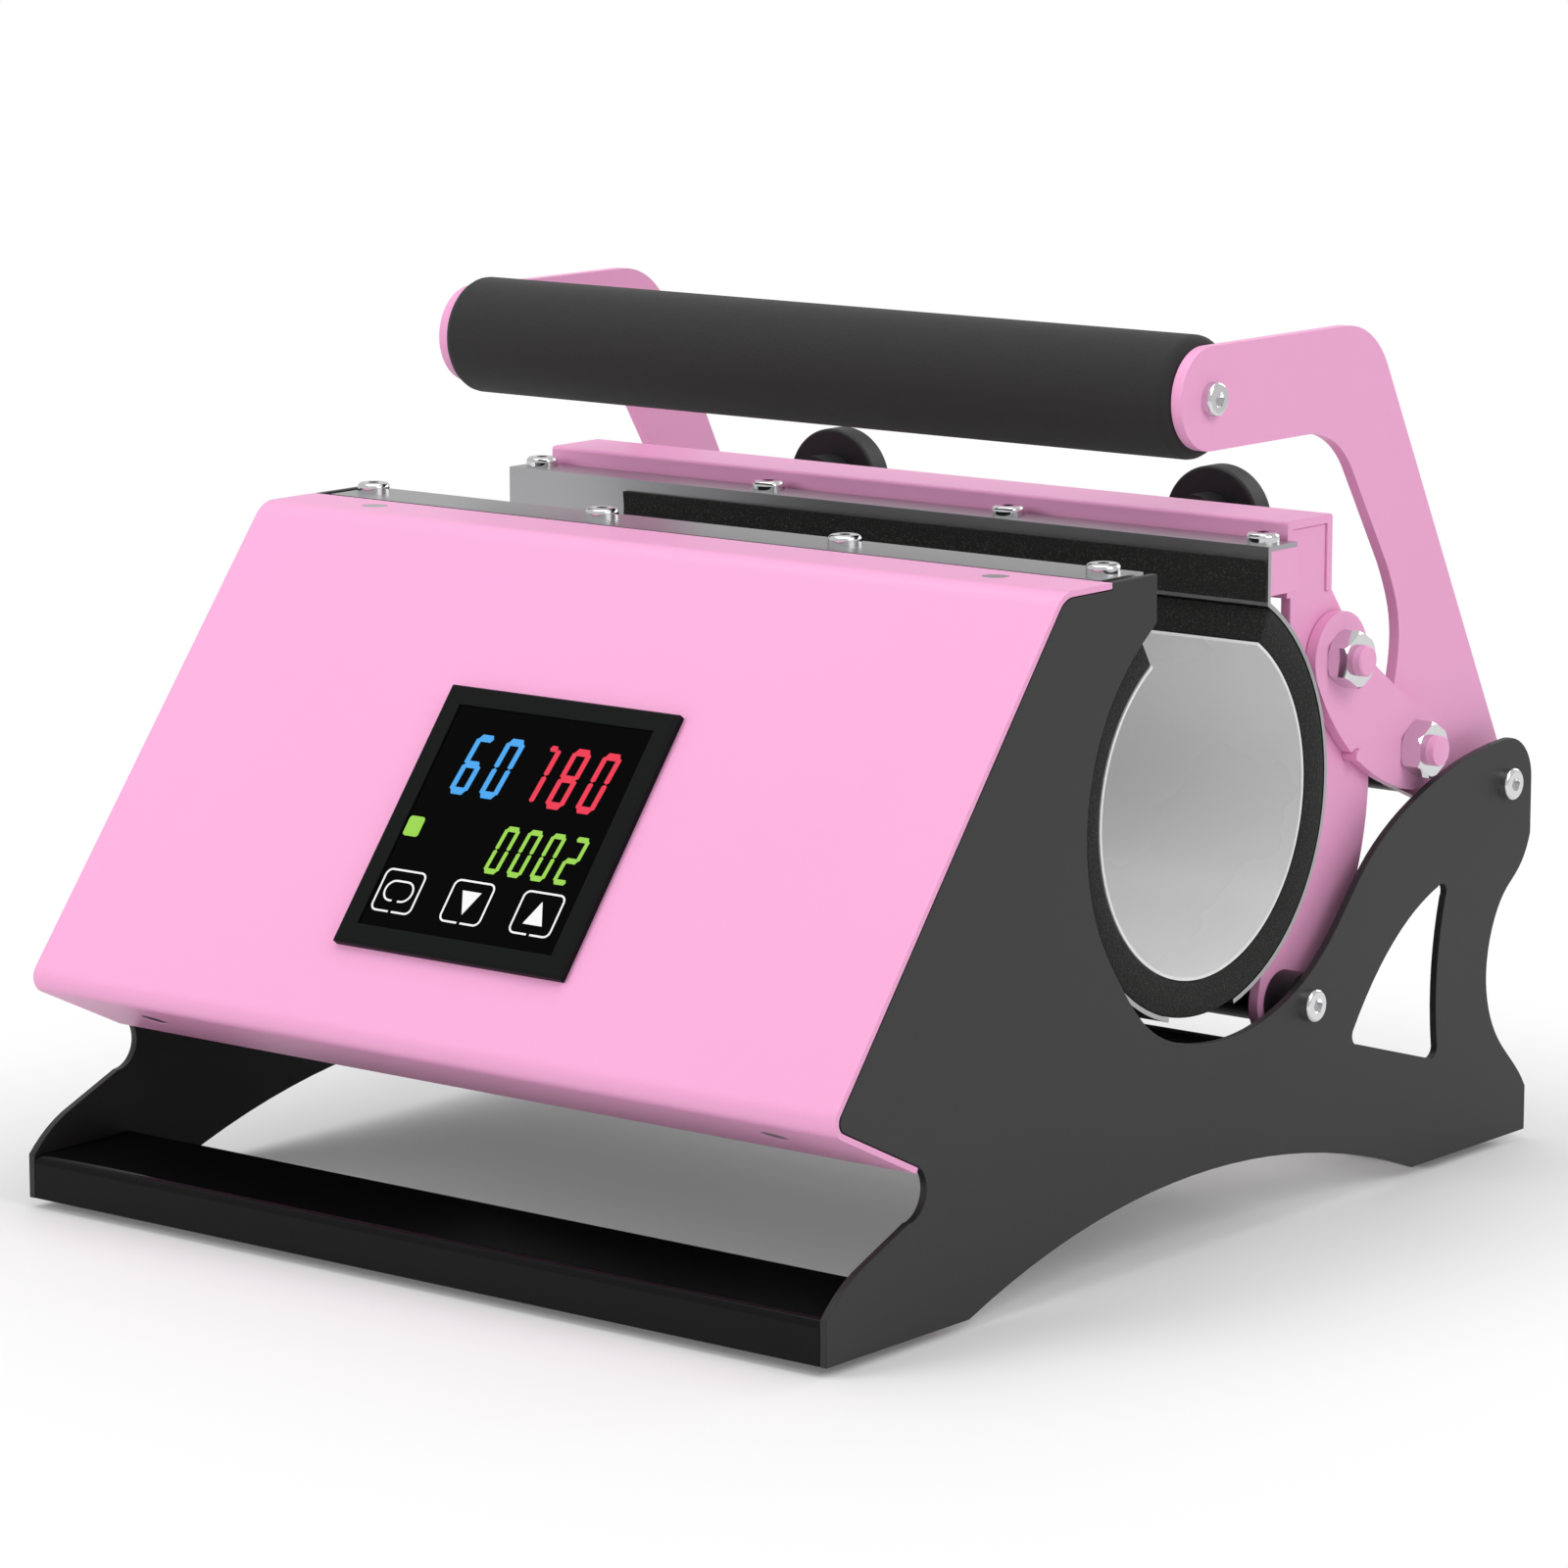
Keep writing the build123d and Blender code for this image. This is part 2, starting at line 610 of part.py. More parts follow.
def lining(hand, outer_radius, inner_radius, start, end):
    """Curved strip of felt or liner between two angles."""
    centre = RING[0]

    def at(radius, degrees):
        point = ring_point(radius, degrees)
        return (centre + hand * (point[0] - centre), point[1])

    middle = (start + end) / 2
    with BuildPart() as strip:
        with BuildSketch(side(MAT_START)):
            with BuildLine():
                ThreePointArc(at(outer_radius, start), at(outer_radius, middle), at(outer_radius, end))
                Line(at(outer_radius, end), at(inner_radius, end))
                ThreePointArc(at(inner_radius, end), at(inner_radius, middle), at(inner_radius, start))
                Line(at(inner_radius, start), at(outer_radius, start))
            make_face()
        extrude(amount=SHELL_LENGTH / 2 - MAT_START)
    return strip


def lip_pad(hand):
    """Thin felt strip glued over the upright lip of a jaw."""
    face = RING[0] + hand * MOUTH_HALF
    low = ring_point(SHELL_RADIUS - SHELL_SHEET, 60)[1] + 1.0
    with BuildPart() as pad:
        with BuildSketch(side(MAT_START)):
            with Locations((face - hand * (LIP_PAD / 2 + FIT), (low + TOP - LIP_PAD_DROP) / 2)):
                Rectangle(LIP_PAD, TOP - LIP_PAD_DROP - low)
        extrude(amount=SHELL_LENGTH / 2 - MAT_START)
    return pad


felt_outer = SHELL_RADIUS - SHELL_SHEET - FIT
felt_inner = BORE_RADIUS + LINER + FIT
liner_outer = BORE_RADIUS + LINER
mouth_angle = math.degrees(math.acos(MOUTH_HALF / felt_outer)) - 1.0
join_angle = -SHELL_END_ANGLE
for hand, jaw in ((1, "rear"), (-1, "front")):
    shell = jaw_shell(hand, FLANGE_REAR if hand > 0 else FLANGE_FRONT)
    flange_middle = MOUTH_HALF + (6.5 if hand > 0 else 8.0)
    screw_back = RING[0] + hand * flange_middle
    deck = Plane(origin=(0, screw_back - DEPTH / 2, TOP + FOOT_STAND))
    with BuildPart() as drilled:
        add(shell.part)
        with Locations(deck):
            with GridLocations(JAW_SCREW_PITCH, 1, JAW_SCREWS, 1):
                Hole(SCREW_RADIUS + FIT, depth=5)
    save(drilled, f"{jaw}_jaw_shell")
    save(lining(hand, felt_outer, felt_inner, mouth_angle, join_angle), f"{jaw}_felt")
    save(lining(hand, liner_outer, BORE_RADIUS, mouth_angle, join_angle), f"{jaw}_liner")
    save(lip_pad(hand), f"{jaw}_lip_pad")
    # Bar under the flange, drilled for the jaw screws
    bar_half = SHELL_LENGTH / 2 if hand > 0 else INNER
    bar_near = MOUTH_HALF + SHELL_SHEET
    bar_far = MOUTH_HALF + (FLANGE_REAR if hand > 0 else FLANGE_FRONT)
    with BuildPart() as mount_bar:
        with BuildSketch(side(-bar_half)):
            with Locations((RING[0] + hand * (bar_near + bar_far) / 2, TOP_SHEET - MOUNT_BAR / 2)):
                Rectangle(bar_far - bar_near, MOUNT_BAR)
        extrude(amount=2 * bar_half)
        with Locations(Plane(origin=(0, screw_back - DEPTH / 2, TOP_SHEET + FOOT_STAND))):
            with GridLocations(JAW_SCREW_PITCH, 1, JAW_SCREWS, 1):
                Hole(SCREW_RADIUS + RUNNING, depth=9)
        if hand > 0:
            for knob_x in (-KNOB_X, KNOB_X):
                with BuildSketch(Plane(
                    origin=(knob_x, RING[0] + bar_far - DEPTH / 2, KNOB_UP + FOOT_STAND),
                    z_dir=(0, 1, 0), x_dir=(1, 0, 0),
                )):
                    Circle(PIN_RADIUS + RUNNING)
                extrude(amount=-9, mode=Mode.SUBTRACT)
    save(mount_bar, f"{jaw}_mount_bar")
    with BuildPart() as jaw_screws:
        with BuildSketch(deck):
            with GridLocations(JAW_SCREW_PITCH, 1, JAW_SCREWS, 1):
                Circle(HEAD_RADIUS)
        extrude(amount=HEAD_HEIGHT)
        fillet(jaw_screws.faces().group_by(Axis.Z)[-1].edges(), 1.2)
        with BuildSketch(deck.offset(HEAD_HEIGHT)):
            with GridLocations(JAW_SCREW_PITCH, 1, JAW_SCREWS, 1):
                RegularPolygon(1.6, 6)
        extrude(amount=-1.3, mode=Mode.SUBTRACT)
        with BuildSketch(deck):
            with GridLocations(JAW_SCREW_PITCH, 1, JAW_SCREWS, 1):
                Circle(SCREW_RADIUS)
        extrude(amount=-8)
    save(jaw_screws, f"{jaw}_jaw_screws")

# Free strip of felt and liner along the bottom, which bends when the jaw opens
free_start = 180 + SHELL_END_ANGLE + GAP
free_end = 360 - SHELL_END_ANGLE - GAP
save(lining(1, felt_outer, felt_inner, free_start, free_end), "free_felt")
save(lining(1, liner_outer, BORE_RADIUS, free_start, free_end), "free_liner")


# Clamp bar, a folded channel open downwards, with holes for the knob studs
with BuildPart() as clamp_bar:
    bar_low = BAR_TOP - BAR_HEIGHT
    bar_end = BAR_START + BAR_DEPTH
    with BuildSketch(side(-BAR_LENGTH / 2)):
        with BuildLine():
            FilletPolyline(
                (BAR_START, bar_low), (BAR_START, BAR_TOP), (bar_end, BAR_TOP), (bar_end, bar_low),
                (bar_end - BAR_SHEET, bar_low), (bar_end - BAR_SHEET, BAR_TOP - BAR_SHEET),
                (BAR_START + BAR_SHEET, BAR_TOP - BAR_SHEET), (BAR_START + BAR_SHEET, bar_low),
                radius=[0, 1.0, 1.0, 0, 0, 0.3, 0.3, 0], close=True,
            )
        make_face()
    extrude(amount=BAR_LENGTH)
    with BuildSketch(Plane(
        origin=(0, bar_end + 1 - DEPTH / 2, KNOB_UP + FOOT_STAND), z_dir=(0, 1, 0), x_dir=(1, 0, 0),
    )):
        with Locations((-KNOB_X, 0), (KNOB_X, 0)):
            Circle(PIN_RADIUS + RUNNING)
    extrude(amount=-BAR_DEPTH - 2, mode=Mode.SUBTRACT)
save(clamp_bar, "clamp_bar")

with BuildPart() as jaw_plate_right:
    shell_face = SHELL_RADIUS + FIT
    plate_front = BAR_START + BAR_SHEET + FIT
    plate_back = bar_end - BAR_SHEET - FIT
    plate_top = BAR_TOP - BAR_SHEET - FIT
    arc_top_angle = math.degrees(math.acos((plate_front - RING[0]) / shell_face))
    arc_low_angle = -52.0
    with BuildSketch(side(ARM_OUTER - ARM_SHEET)):
        with BuildLine():
            arc_top = ring_point(shell_face, arc_top_angle)
            arc_low = ring_point(shell_face, arc_low_angle)
            back_high, back_low = beside(RING, 69.0, 37.2), beside(RING, 76.0, -29.3)
            Polyline(
                arc_top, (plate_front, plate_top), (plate_back, plate_top),
                (plate_back, bar_low - FIT), (bar_end + 1.0, bar_low - FIT), back_high,
            )
            ThreePointArc(back_high, beside(RING, 80.4, 2.7), back_low)
            Polyline(
                back_low, beside(JAW_PIVOT, 8.0, -6.8), beside(JAW_PIVOT, -8.0, -6.8),
                beside(JAW_PIVOT, -10.0, 3.0), arc_low,
            )
            ThreePointArc(arc_low, ring_point(shell_face, 0), arc_top)
        make_face()
        with Locations(JAW_PIVOT):
            Circle(HINGE_EYE)
        with Locations(JAW_PIVOT):
            Circle(SHAFT_RADIUS + RUNNING, mode=Mode.SUBTRACT)
        with Locations(LINK_JAW):
            Circle(PIN_RADIUS + RUNNING, mode=Mode.SUBTRACT)
        with Locations(STOP_PIN):
            Circle(STOP_PIN_RADIUS + RUNNING, mode=Mode.SUBTRACT)
    extrude(amount=ARM_SHEET)
save(jaw_plate_right, "jaw_plate_right")
with BuildPart() as jaw_plate_left:
    mirror(jaw_plate_right.part, about=Plane.YZ)
save(jaw_plate_left, "jaw_plate_left")

with BuildPart() as stop_pins:
    with BuildSketch(side(ARM_OUTER - ARM_SHEET)):
        with Locations(STOP_PIN):
            Circle(STOP_PIN_RADIUS)
    extrude(amount=ARM_SHEET + GAP + LINK_SHEET + 1)
    mirror(about=Plane.YZ)
save(stop_pins, "stop_pins")


# Toggle links, one each side
LINK_INNER = ARM_OUTER + GAP
LINK_OUTER = LINK_INNER + LINK_SHEET
with BuildPart() as link_right:
    with BuildSketch(side(LINK_INNER)):
        with BuildLine():
            claw_front, claw_rear = beside(LINK_JAW, -11.4, -4.2), beside(LINK_HANDLE, -3.0, -10.5)
            ThreePointArc(claw_front, beside(LINK_JAW, 3.3, -23.4), claw_rear)
            Polyline(
                claw_rear, beside(LINK_HANDLE, 5.3, 9.5), beside(LINK_HANDLE, -10.0, 17.8),
                beside(LINK_JAW, 16.0, -4.0), beside(LINK_JAW, 10.0, 6.5),
                beside(LINK_JAW, -6.0, 10.0), claw_front,
            )
        make_face()
        with Locations(LINK_JAW):
            Circle(EYE_RADIUS)
        with Locations(LINK_HANDLE):
            Circle(LINK_LOBE)
        with Locations(LINK_JAW, LINK_HANDLE):
            Circle(PIN_RADIUS + RUNNING, mode=Mode.SUBTRACT)
        with Locations(Location((STOP_PIN[0] - 2.2, STOP_PIN[1] - 0.8), 16)):
            SlotCenterToCenter(4.8, 2 * (STOP_PIN_RADIUS + GAP), mode=Mode.SUBTRACT)
    extrude(amount=LINK_SHEET)
save(link_right, "link_right")
with BuildPart() as link_left:
    mirror(link_right.part, about=Plane.YZ)
save(link_left, "link_left")


def hex_nuts(at, x):
    """A nut on each side, its inner face at x and mirrored."""
    with BuildPart() as nuts:
        with BuildSketch(side(x)):
            with Locations(at):
                RegularPolygon(NUT_FLATS / 2, 6, major_radius=False, rotation=30)
                Circle(PIN_RADIUS + RUNNING, mode=Mode.SUBTRACT)
        extrude(amount=NUT_HEIGHT)
    return nuts


nut_x = LINK_OUTER + FIT
pin_end = nut_x + NUT_HEIGHT + PIN_PROUD
link_pin_nuts = hex_nuts(LINK_JAW, nut_x)
with BuildPart() as link_jaw_nuts:
    add(link_pin_nuts.part)
    mirror(about=Plane.YZ)
save(link_jaw_nuts, "link_jaw_nuts")

with BuildPart() as link_jaw_bolts:
    with BuildSketch(side(ARM_OUTER - ARM_SHEET - 5.0)):
        with Locations(LINK_JAW):
            RegularPolygon(NUT_FLATS / 2, 6, major_radius=False)
    extrude(amount=5.0)
    with BuildSketch(side(ARM_OUTER - ARM_SHEET)):
        with Locations(LINK_JAW):
            Circle(PIN_RADIUS)
    extrude(amount=pin_end - ARM_OUTER + ARM_SHEET)
    chamfer(link_jaw_bolts.faces().sort_by(Axis.X)[-1].edges(), 0.5)
    mirror(about=Plane.YZ)
save(link_jaw_bolts, "link_jaw_bolts")

# The open pivot of the loop: the outer bolt half and its nut stay with the link
handle_nut = hex_nuts(LINK_HANDLE, nut_x)
with BuildPart() as link_fasteners_right:
    with BuildSketch(side(LINK_INNER)):
        with Locations(LINK_HANDLE):
            Circle(PIN_RADIUS)
    extrude(amount=pin_end - LINK_INNER)
    chamfer(link_fasteners_right.faces().sort_by(Axis.X)[-1].edges(), 0.5)
    add(handle_nut.part)
save(link_fasteners_right, "link_fasteners_right")
with BuildPart() as link_fasteners_left:
    mirror(link_fasteners_right.part, about=Plane.YZ)
save(link_fasteners_left, "link_fasteners_left")


# Handle
with BuildPart() as handle_arm_right:
    with BuildSketch(side(ARM_OUTER - ARM_SHEET)):
        grip_top = (GRIP_CENTRE[0], GRIP_CENTRE[1] + ARM_END_RADIUS)
        grip_low = (GRIP_CENTRE[0], GRIP_CENTRE[1] - ARM_END_RADIUS)
        grip_front = (GRIP_CENTRE[0] - ARM_END_RADIUS, GRIP_CENTRE[1])
        arm_back = (HANDLE_PIVOT[0] + 0.8815 * EYE_RADIUS, HANDLE_PIVOT[1] + 0.472 * EYE_RADIUS)
        eye_low = (HANDLE_PIVOT[0] - 0.3 * EYE_RADIUS, HANDLE_PIVOT[1] - 0.95 * EYE_RADIUS)
        lobe_low = (LINK_HANDLE[0] - 0.35 * LINK_LOBE, LINK_HANDLE[1] - 0.93 * LINK_LOBE)
        lobe_front = (LINK_HANDLE[0] - LINK_LOBE, LINK_HANDLE[1] + 0.5)
        with BuildLine():
            FilletPolyline(grip_top, ARM_CORNER, arm_back, radius=ARM_CORNER_RADIUS)
            Polyline(arm_back, HANDLE_PIVOT, eye_low, lobe_low, LINK_HANDLE, lobe_front)
            throat = beside(LINK_HANDLE, -10.0, 49.5)
            Spline(
                lobe_front, beside(LINK_HANDLE, -5.0, 18.0), beside(LINK_HANDLE, -3.6, 33.0), throat,
                tangents=((0.35, 1), (-0.55, 1)),
            )
            FilletPolyline(throat, ARM_INNER_CORNER, grip_low, radius=ARM_INNER_RADIUS)
            ThreePointArc(grip_low, grip_front, grip_top)
        make_face()
        with Locations(HANDLE_PIVOT):
            Circle(EYE_RADIUS)
        with Locations(LINK_HANDLE):
            Circle(LINK_LOBE)
        with Locations(HANDLE_PIVOT):
            Circle(SHAFT_RADIUS + RUNNING, mode=Mode.SUBTRACT)
        with Locations(LINK_HANDLE):
            Circle(PIN_RADIUS + RUNNING, mode=Mode.SUBTRACT)
        with Locations(GRIP_CENTRE):
            Circle(SCREW_RADIUS + RUNNING, mode=Mode.SUBTRACT)
    extrude(amount=ARM_SHEET)
save(handle_arm_right, "handle_arm_right")
with BuildPart() as handle_arm_left:
    mirror(handle_arm_right.part, about=Plane.YZ)
save(handle_arm_left, "handle_arm_left")

arm_inner = ARM_OUTER - ARM_SHEET
with BuildPart() as handle_tube:
    with BuildSketch(side(-arm_inner)):
        with Locations(GRIP_CENTRE):
            Circle(TUBE_RADIUS)
            Circle(TUBE_RADIUS - TUBE_WALL, mode=Mode.SUBTRACT)
    extrude(amount=2 * arm_inner)
save(handle_tube, "handle_tube")

with BuildPart() as handle_plugs:
    with BuildSketch(side(arm_inner)):
        with Locations(GRIP_CENTRE):
            Circle(TUBE_RADIUS - TUBE_WALL - RUNNING)
            Circle(SCREW_RADIUS + RUNNING, mode=Mode.SUBTRACT)
    extrude(amount=-14)
    mirror(about=Plane.YZ)
save(handle_plugs, "handle_plugs")

with BuildPart() as handle_grip:
    with BuildSketch(side(-arm_inner + GAP)):
        with Locations(GRIP_CENTRE):
            Circle(GRIP_RADIUS)
            Circle(TUBE_RADIUS + FIT, mode=Mode.SUBTRACT)
    extrude(amount=2 * (arm_inner - GAP))
    ends = handle_grip.faces().filter_by(Axis.X).edges().sort_by(SortBy.RADIUS)[-2:]
    fillet(ends, 2.2)
save(handle_grip, "handle_grip")

save(button_screws([GRIP_CENTRE], ARM_OUTER, ARM_SHEET + 12), "handle_screws")

with BuildPart() as handle_link_bolts:
    with BuildSketch(side(arm_inner - 5.0)):
        with Locations(LINK_HANDLE):
            RegularPolygon(NUT_FLATS / 2, 6, major_radius=False)
    extrude(amount=5.0)
    with BuildSketch(side(arm_inner)):
        with Locations(LINK_HANDLE):
            Circle(PIN_RADIUS)
    extrude(amount=ARM_SHEET)
    mirror(about=Plane.YZ)
save(handle_link_bolts, "handle_link_bolts")


# Pressure knobs with their threaded studs
for knob_x, hand_name in ((-KNOB_X, "left"), (KNOB_X, "right")):
    with BuildPart() as knob:
        face = Plane(
            origin=(knob_x, KNOB_FACE - DEPTH / 2, KNOB_UP + FOOT_STAND), z_dir=(0, 1, 0), x_dir=(1, 0, 0)
        )
        with BuildSketch(face):
            Circle(KNOB_RADIUS)
        extrude(amount=KNOB_THICK)
        fillet(knob.edges().filter_by(GeomType.CIRCLE), 1.0)
        with BuildSketch(face):
            Circle(KNOB_HUB_RADIUS)
        extrude(amount=-KNOB_HUB)
    save(knob, f"knob_{hand_name}")
    with BuildPart() as stud:
        with BuildSketch(face.offset(-KNOB_HUB)):
            Circle(PIN_RADIUS)
        extrude(amount=-(KNOB_FACE - KNOB_HUB - (RING[0] + MOUTH_HALF + FLANGE_REAR) + 8))
    save(stud, f"knob_stud_{hand_name}")
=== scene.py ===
# %% [markdown]
# A tumbler heat press, dressed for a studio picture.
# The construction is already modelled: every plate, screw and shaft is there at
# its real size. This lesson gives each surface its finish, and models the soft
# and fine things by hand: the felt ring, its white liner, the felt strips, the
# foam grip, the nuts and the lit figures of the control panel.

import json
import math

import bmesh
import bpy
from mathutils import Matrix, Vector


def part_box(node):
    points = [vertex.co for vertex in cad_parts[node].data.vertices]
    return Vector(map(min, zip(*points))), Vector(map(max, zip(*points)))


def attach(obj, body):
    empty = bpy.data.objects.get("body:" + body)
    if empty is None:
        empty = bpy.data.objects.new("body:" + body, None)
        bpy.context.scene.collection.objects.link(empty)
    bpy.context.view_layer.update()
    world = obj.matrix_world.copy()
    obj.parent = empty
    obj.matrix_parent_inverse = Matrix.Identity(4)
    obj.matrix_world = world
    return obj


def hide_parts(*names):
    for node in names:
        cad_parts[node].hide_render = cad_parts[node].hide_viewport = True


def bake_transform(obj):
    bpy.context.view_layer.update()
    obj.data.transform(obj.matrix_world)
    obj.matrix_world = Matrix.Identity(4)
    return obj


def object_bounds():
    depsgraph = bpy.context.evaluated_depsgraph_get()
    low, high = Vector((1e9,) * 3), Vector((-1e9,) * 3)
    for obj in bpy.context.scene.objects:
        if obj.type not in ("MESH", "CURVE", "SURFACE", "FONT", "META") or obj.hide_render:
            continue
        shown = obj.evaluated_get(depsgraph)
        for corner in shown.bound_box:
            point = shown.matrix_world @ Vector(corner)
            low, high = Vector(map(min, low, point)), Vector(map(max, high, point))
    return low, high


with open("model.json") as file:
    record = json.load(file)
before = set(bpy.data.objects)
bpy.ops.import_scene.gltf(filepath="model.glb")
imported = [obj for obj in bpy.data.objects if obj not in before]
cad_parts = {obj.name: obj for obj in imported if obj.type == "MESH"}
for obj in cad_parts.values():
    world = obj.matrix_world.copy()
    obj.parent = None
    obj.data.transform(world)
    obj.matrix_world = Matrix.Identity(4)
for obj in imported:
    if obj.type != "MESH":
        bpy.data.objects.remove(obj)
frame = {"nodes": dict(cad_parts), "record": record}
cad_box = [list(corner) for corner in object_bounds()]
bpy.ops.object.select_all(action="DESELECT")
nodes = frame["nodes"]
print("pieces in the frame:", len(nodes))

# %% [markdown]
# The camera comes first, because every later choice is judged through it. The
# picture was taken from the right front with a long lens, so lines stay nearly
# parallel. The angles and the lens were solved from the corners of the press.

# %% Camera
CAMERA_AT = (0.9843, -1.2394, 0.3920)
CAMERA_TILT = math.radians(79.667)
CAMERA_TURN = math.radians(38.548)
CAMERA_LENS = 142.3

camera_data = bpy.data.cameras.new("camera")
camera_data.lens = CAMERA_LENS
camera_data.sensor_width = 36.0
camera = bpy.data.objects.new("camera", camera_data)
camera.location = CAMERA_AT
camera.rotation_euler = (CAMERA_TILT, 0.0, CAMERA_TURN)
bpy.context.scene.collection.objects.link(camera)
bpy.context.scene.camera = camera
bpy.context.scene.view_settings.view_transform = "Standard"

# %% [markdown]
# A product picture like this has a white sweep and large soft lamps. One big lamp
# hangs over the press, a key lamp lights the sloping cover from the front left, and
# a third shines from the upper right into the open end of the bore. A last one keeps
# the back from going black. The world gives a weak even light. The camera sees it
# pure white, and reflections see it part of the way to white.

# %% Lamps and world
LAMPS = {
    "top_lamp": ((-0.15, -0.10, 1.25), (0.0, 0.0, 0.05), 1.1, 6.5),
    "key_lamp": ((-0.70, -1.30, 0.80), (0.0, 0.0, 0.10), 0.9, 11.0),
    "side_lamp": ((1.05, -0.12, 0.88), (0.0, 0.0, 0.10), 0.7, 5.6),
    "rear_lamp": ((0.30, 1.30, 0.70), (0.0, 0.0, 0.12), 0.8, 4.0),
}
WORLD_LIGHT = 0.38
MIRROR_SHARE = 0.5


def add_lamp(name, place, target, size, power):
    """A square soft lamp at a place, aimed at a target."""
    data = bpy.data.lights.new(name, "AREA")
    data.size = size
    data.energy = power
    lamp = bpy.data.objects.new(name, data)
    lamp.location = place
    aim = Vector(target) - Vector(place)
    lamp.rotation_euler = aim.to_track_quat("-Z", "Y").to_euler()
    lamp.visible_glossy = name != "key_lamp"
    bpy.context.scene.collection.objects.link(lamp)


for lamp_name, (place, target, size, power) in LAMPS.items():
    add_lamp(lamp_name, place, target, size, power)


def maths(tree, operation, first, second):
    """A maths node's result. Each input is a socket to link or a plain number."""
    node = tree.nodes.new("ShaderNodeMath")
    node.operation = operation
    for place, value in enumerate((first, second)):
        if isinstance(value, bpy.types.NodeSocket):
            tree.links.new(value, node.inputs[place])
        else:
            node.inputs[place].default_value = value
    return node.outputs[0]


def whiteness(tree):
    """1 for what the camera sees, a share for reflections, and 0 for cast light."""
    rays = tree.nodes.new("ShaderNodeLightPath")
    mirror = maths(tree, "MULTIPLY", rays.outputs["Is Glossy Ray"], MIRROR_SHARE)
    return maths(tree, "MAXIMUM", rays.outputs["Is Camera Ray"], mirror)


def backdrop(tree, strength):
    """An even white background."""
    node = tree.nodes.new("ShaderNodeBackground")
    node.inputs["Color"].default_value = (1.0, 1.0, 1.0, 1.0)
    node.inputs["Strength"].default_value = strength
    return node.outputs[0]


world = bpy.data.worlds.new("studio")
bpy.context.scene.world = world
world.use_nodes = True
sky = world.node_tree
sky.nodes.clear()
sky_mix = sky.nodes.new("ShaderNodeMixShader")
sky_out = sky.nodes.new("ShaderNodeOutputWorld")
sky.links.new(whiteness(sky), sky_mix.inputs["Fac"])
sky.links.new(backdrop(sky, WORLD_LIGHT), sky_mix.inputs[1])
sky.links.new(backdrop(sky, 1.0), sky_mix.inputs[2])
sky.links.new(sky_mix.outputs[0], sky_out.inputs["Surface"])

# %% [markdown]
# The floor is a wide pale disc. Under and beside the press it is mostly plain paint, so it keeps the soft
# shadow that the lamps cast. The weak glow there also leaves the floor darker round the press: painted shade
# that follows the press's footprint. Further out, a white glow takes over by the distance from the press, so
# that the floor runs into the backdrop without an edge.

# %% Floor
FLOOR_RADIUS = 9.0
FOOTPRINT = (cad_box[1][0], cad_box[1][1])
# Little glow next to the press, so the floor there is darker: painted shade round and under the press.
GLOW_NEAR = 0.12
GLOW_FAR = 1.0
GLOW_REACH = 0.16


def away_from_press(tree):
    """How far a point of the floor is from the press's footprint, in metres."""
    socket = tree.nodes.new("ShaderNodeTexCoord").outputs["Object"]
    for operation, other in (
        ("ABSOLUTE", None), ("SUBTRACT", (*FOOTPRINT, 0.0)), ("MAXIMUM", (0.0, 0.0, 0.0)), ("LENGTH", None),
    ):
        node = tree.nodes.new("ShaderNodeVectorMath")
        node.operation = operation
        if other:
            node.inputs[1].default_value = other
        tree.links.new(socket, node.inputs[0])
        socket = node.outputs["Value" if operation == "LENGTH" else "Vector"]
    return socket


bpy.ops.mesh.primitive_circle_add(vertices=96, radius=FLOOR_RADIUS, fill_type="NGON")
floor = bpy.context.object
floor.name = "floor"
paper = bpy.data.materials.new("white_sweep")
paper.use_nodes = True
paper_tree = paper.node_tree
paper_shader = paper_tree.nodes["Principled BSDF"]
paper_shader.inputs["Base Color"].default_value = (0.86, 0.86, 0.86, 1.0)
paper_shader.inputs["Roughness"].default_value = 0.6
paper_glow = paper_tree.nodes.new("ShaderNodeEmission")
paper_glow.inputs["Strength"].default_value = 1.0
paper_level = paper_tree.nodes.new("ShaderNodeMapRange")
paper_level.interpolation_type = "SMOOTHSTEP"
paper_level.inputs["From Max"].default_value = GLOW_REACH
paper_level.inputs["To Min"].default_value = GLOW_NEAR
paper_level.inputs["To Max"].default_value = GLOW_FAR
paper_tree.links.new(away_from_press(paper_tree), paper_level.inputs["Value"])
paper_share = maths(paper_tree, "MULTIPLY", whiteness(paper_tree), paper_level.outputs["Result"])
paper_mix = paper_tree.nodes.new("ShaderNodeMixShader")
paper_out = paper_tree.nodes["Material Output"]
paper_tree.links.new(paper_share, paper_mix.inputs["Fac"])
paper_tree.links.new(paper_shader.outputs[0], paper_mix.inputs[1])
paper_tree.links.new(paper_glow.outputs[0], paper_mix.inputs[2])
paper_tree.links.new(paper_mix.outputs[0], paper_out.inputs["Surface"])
floor.data.materials.append(paper)

# %% [markdown]
# Most finishes here share two effects. Powder coat, moulded plastic and foam all
# have a fine bumpy grain, and every real surface varies a little in tone and
# gloss. Each effect is a node group, built once, with its own sockets for scale
# and strength, and every material then uses it with its own values.

# %% Shared effects
def new_group(name, inputs, outputs):
    """An empty shader node group with named sockets."""
    group = bpy.data.node_groups.new(name, "ShaderNodeTree")
    for label, kind, value in inputs:
        socket = group.interface.new_socket(label, in_out="INPUT", socket_type=kind)
        if value is not None:
            socket.default_value = value
    for label, kind in outputs:
        group.interface.new_socket(label, in_out="OUTPUT", socket_type=kind)
    return group, group.nodes.new("NodeGroupInput"), group.nodes.new("NodeGroupOutput")


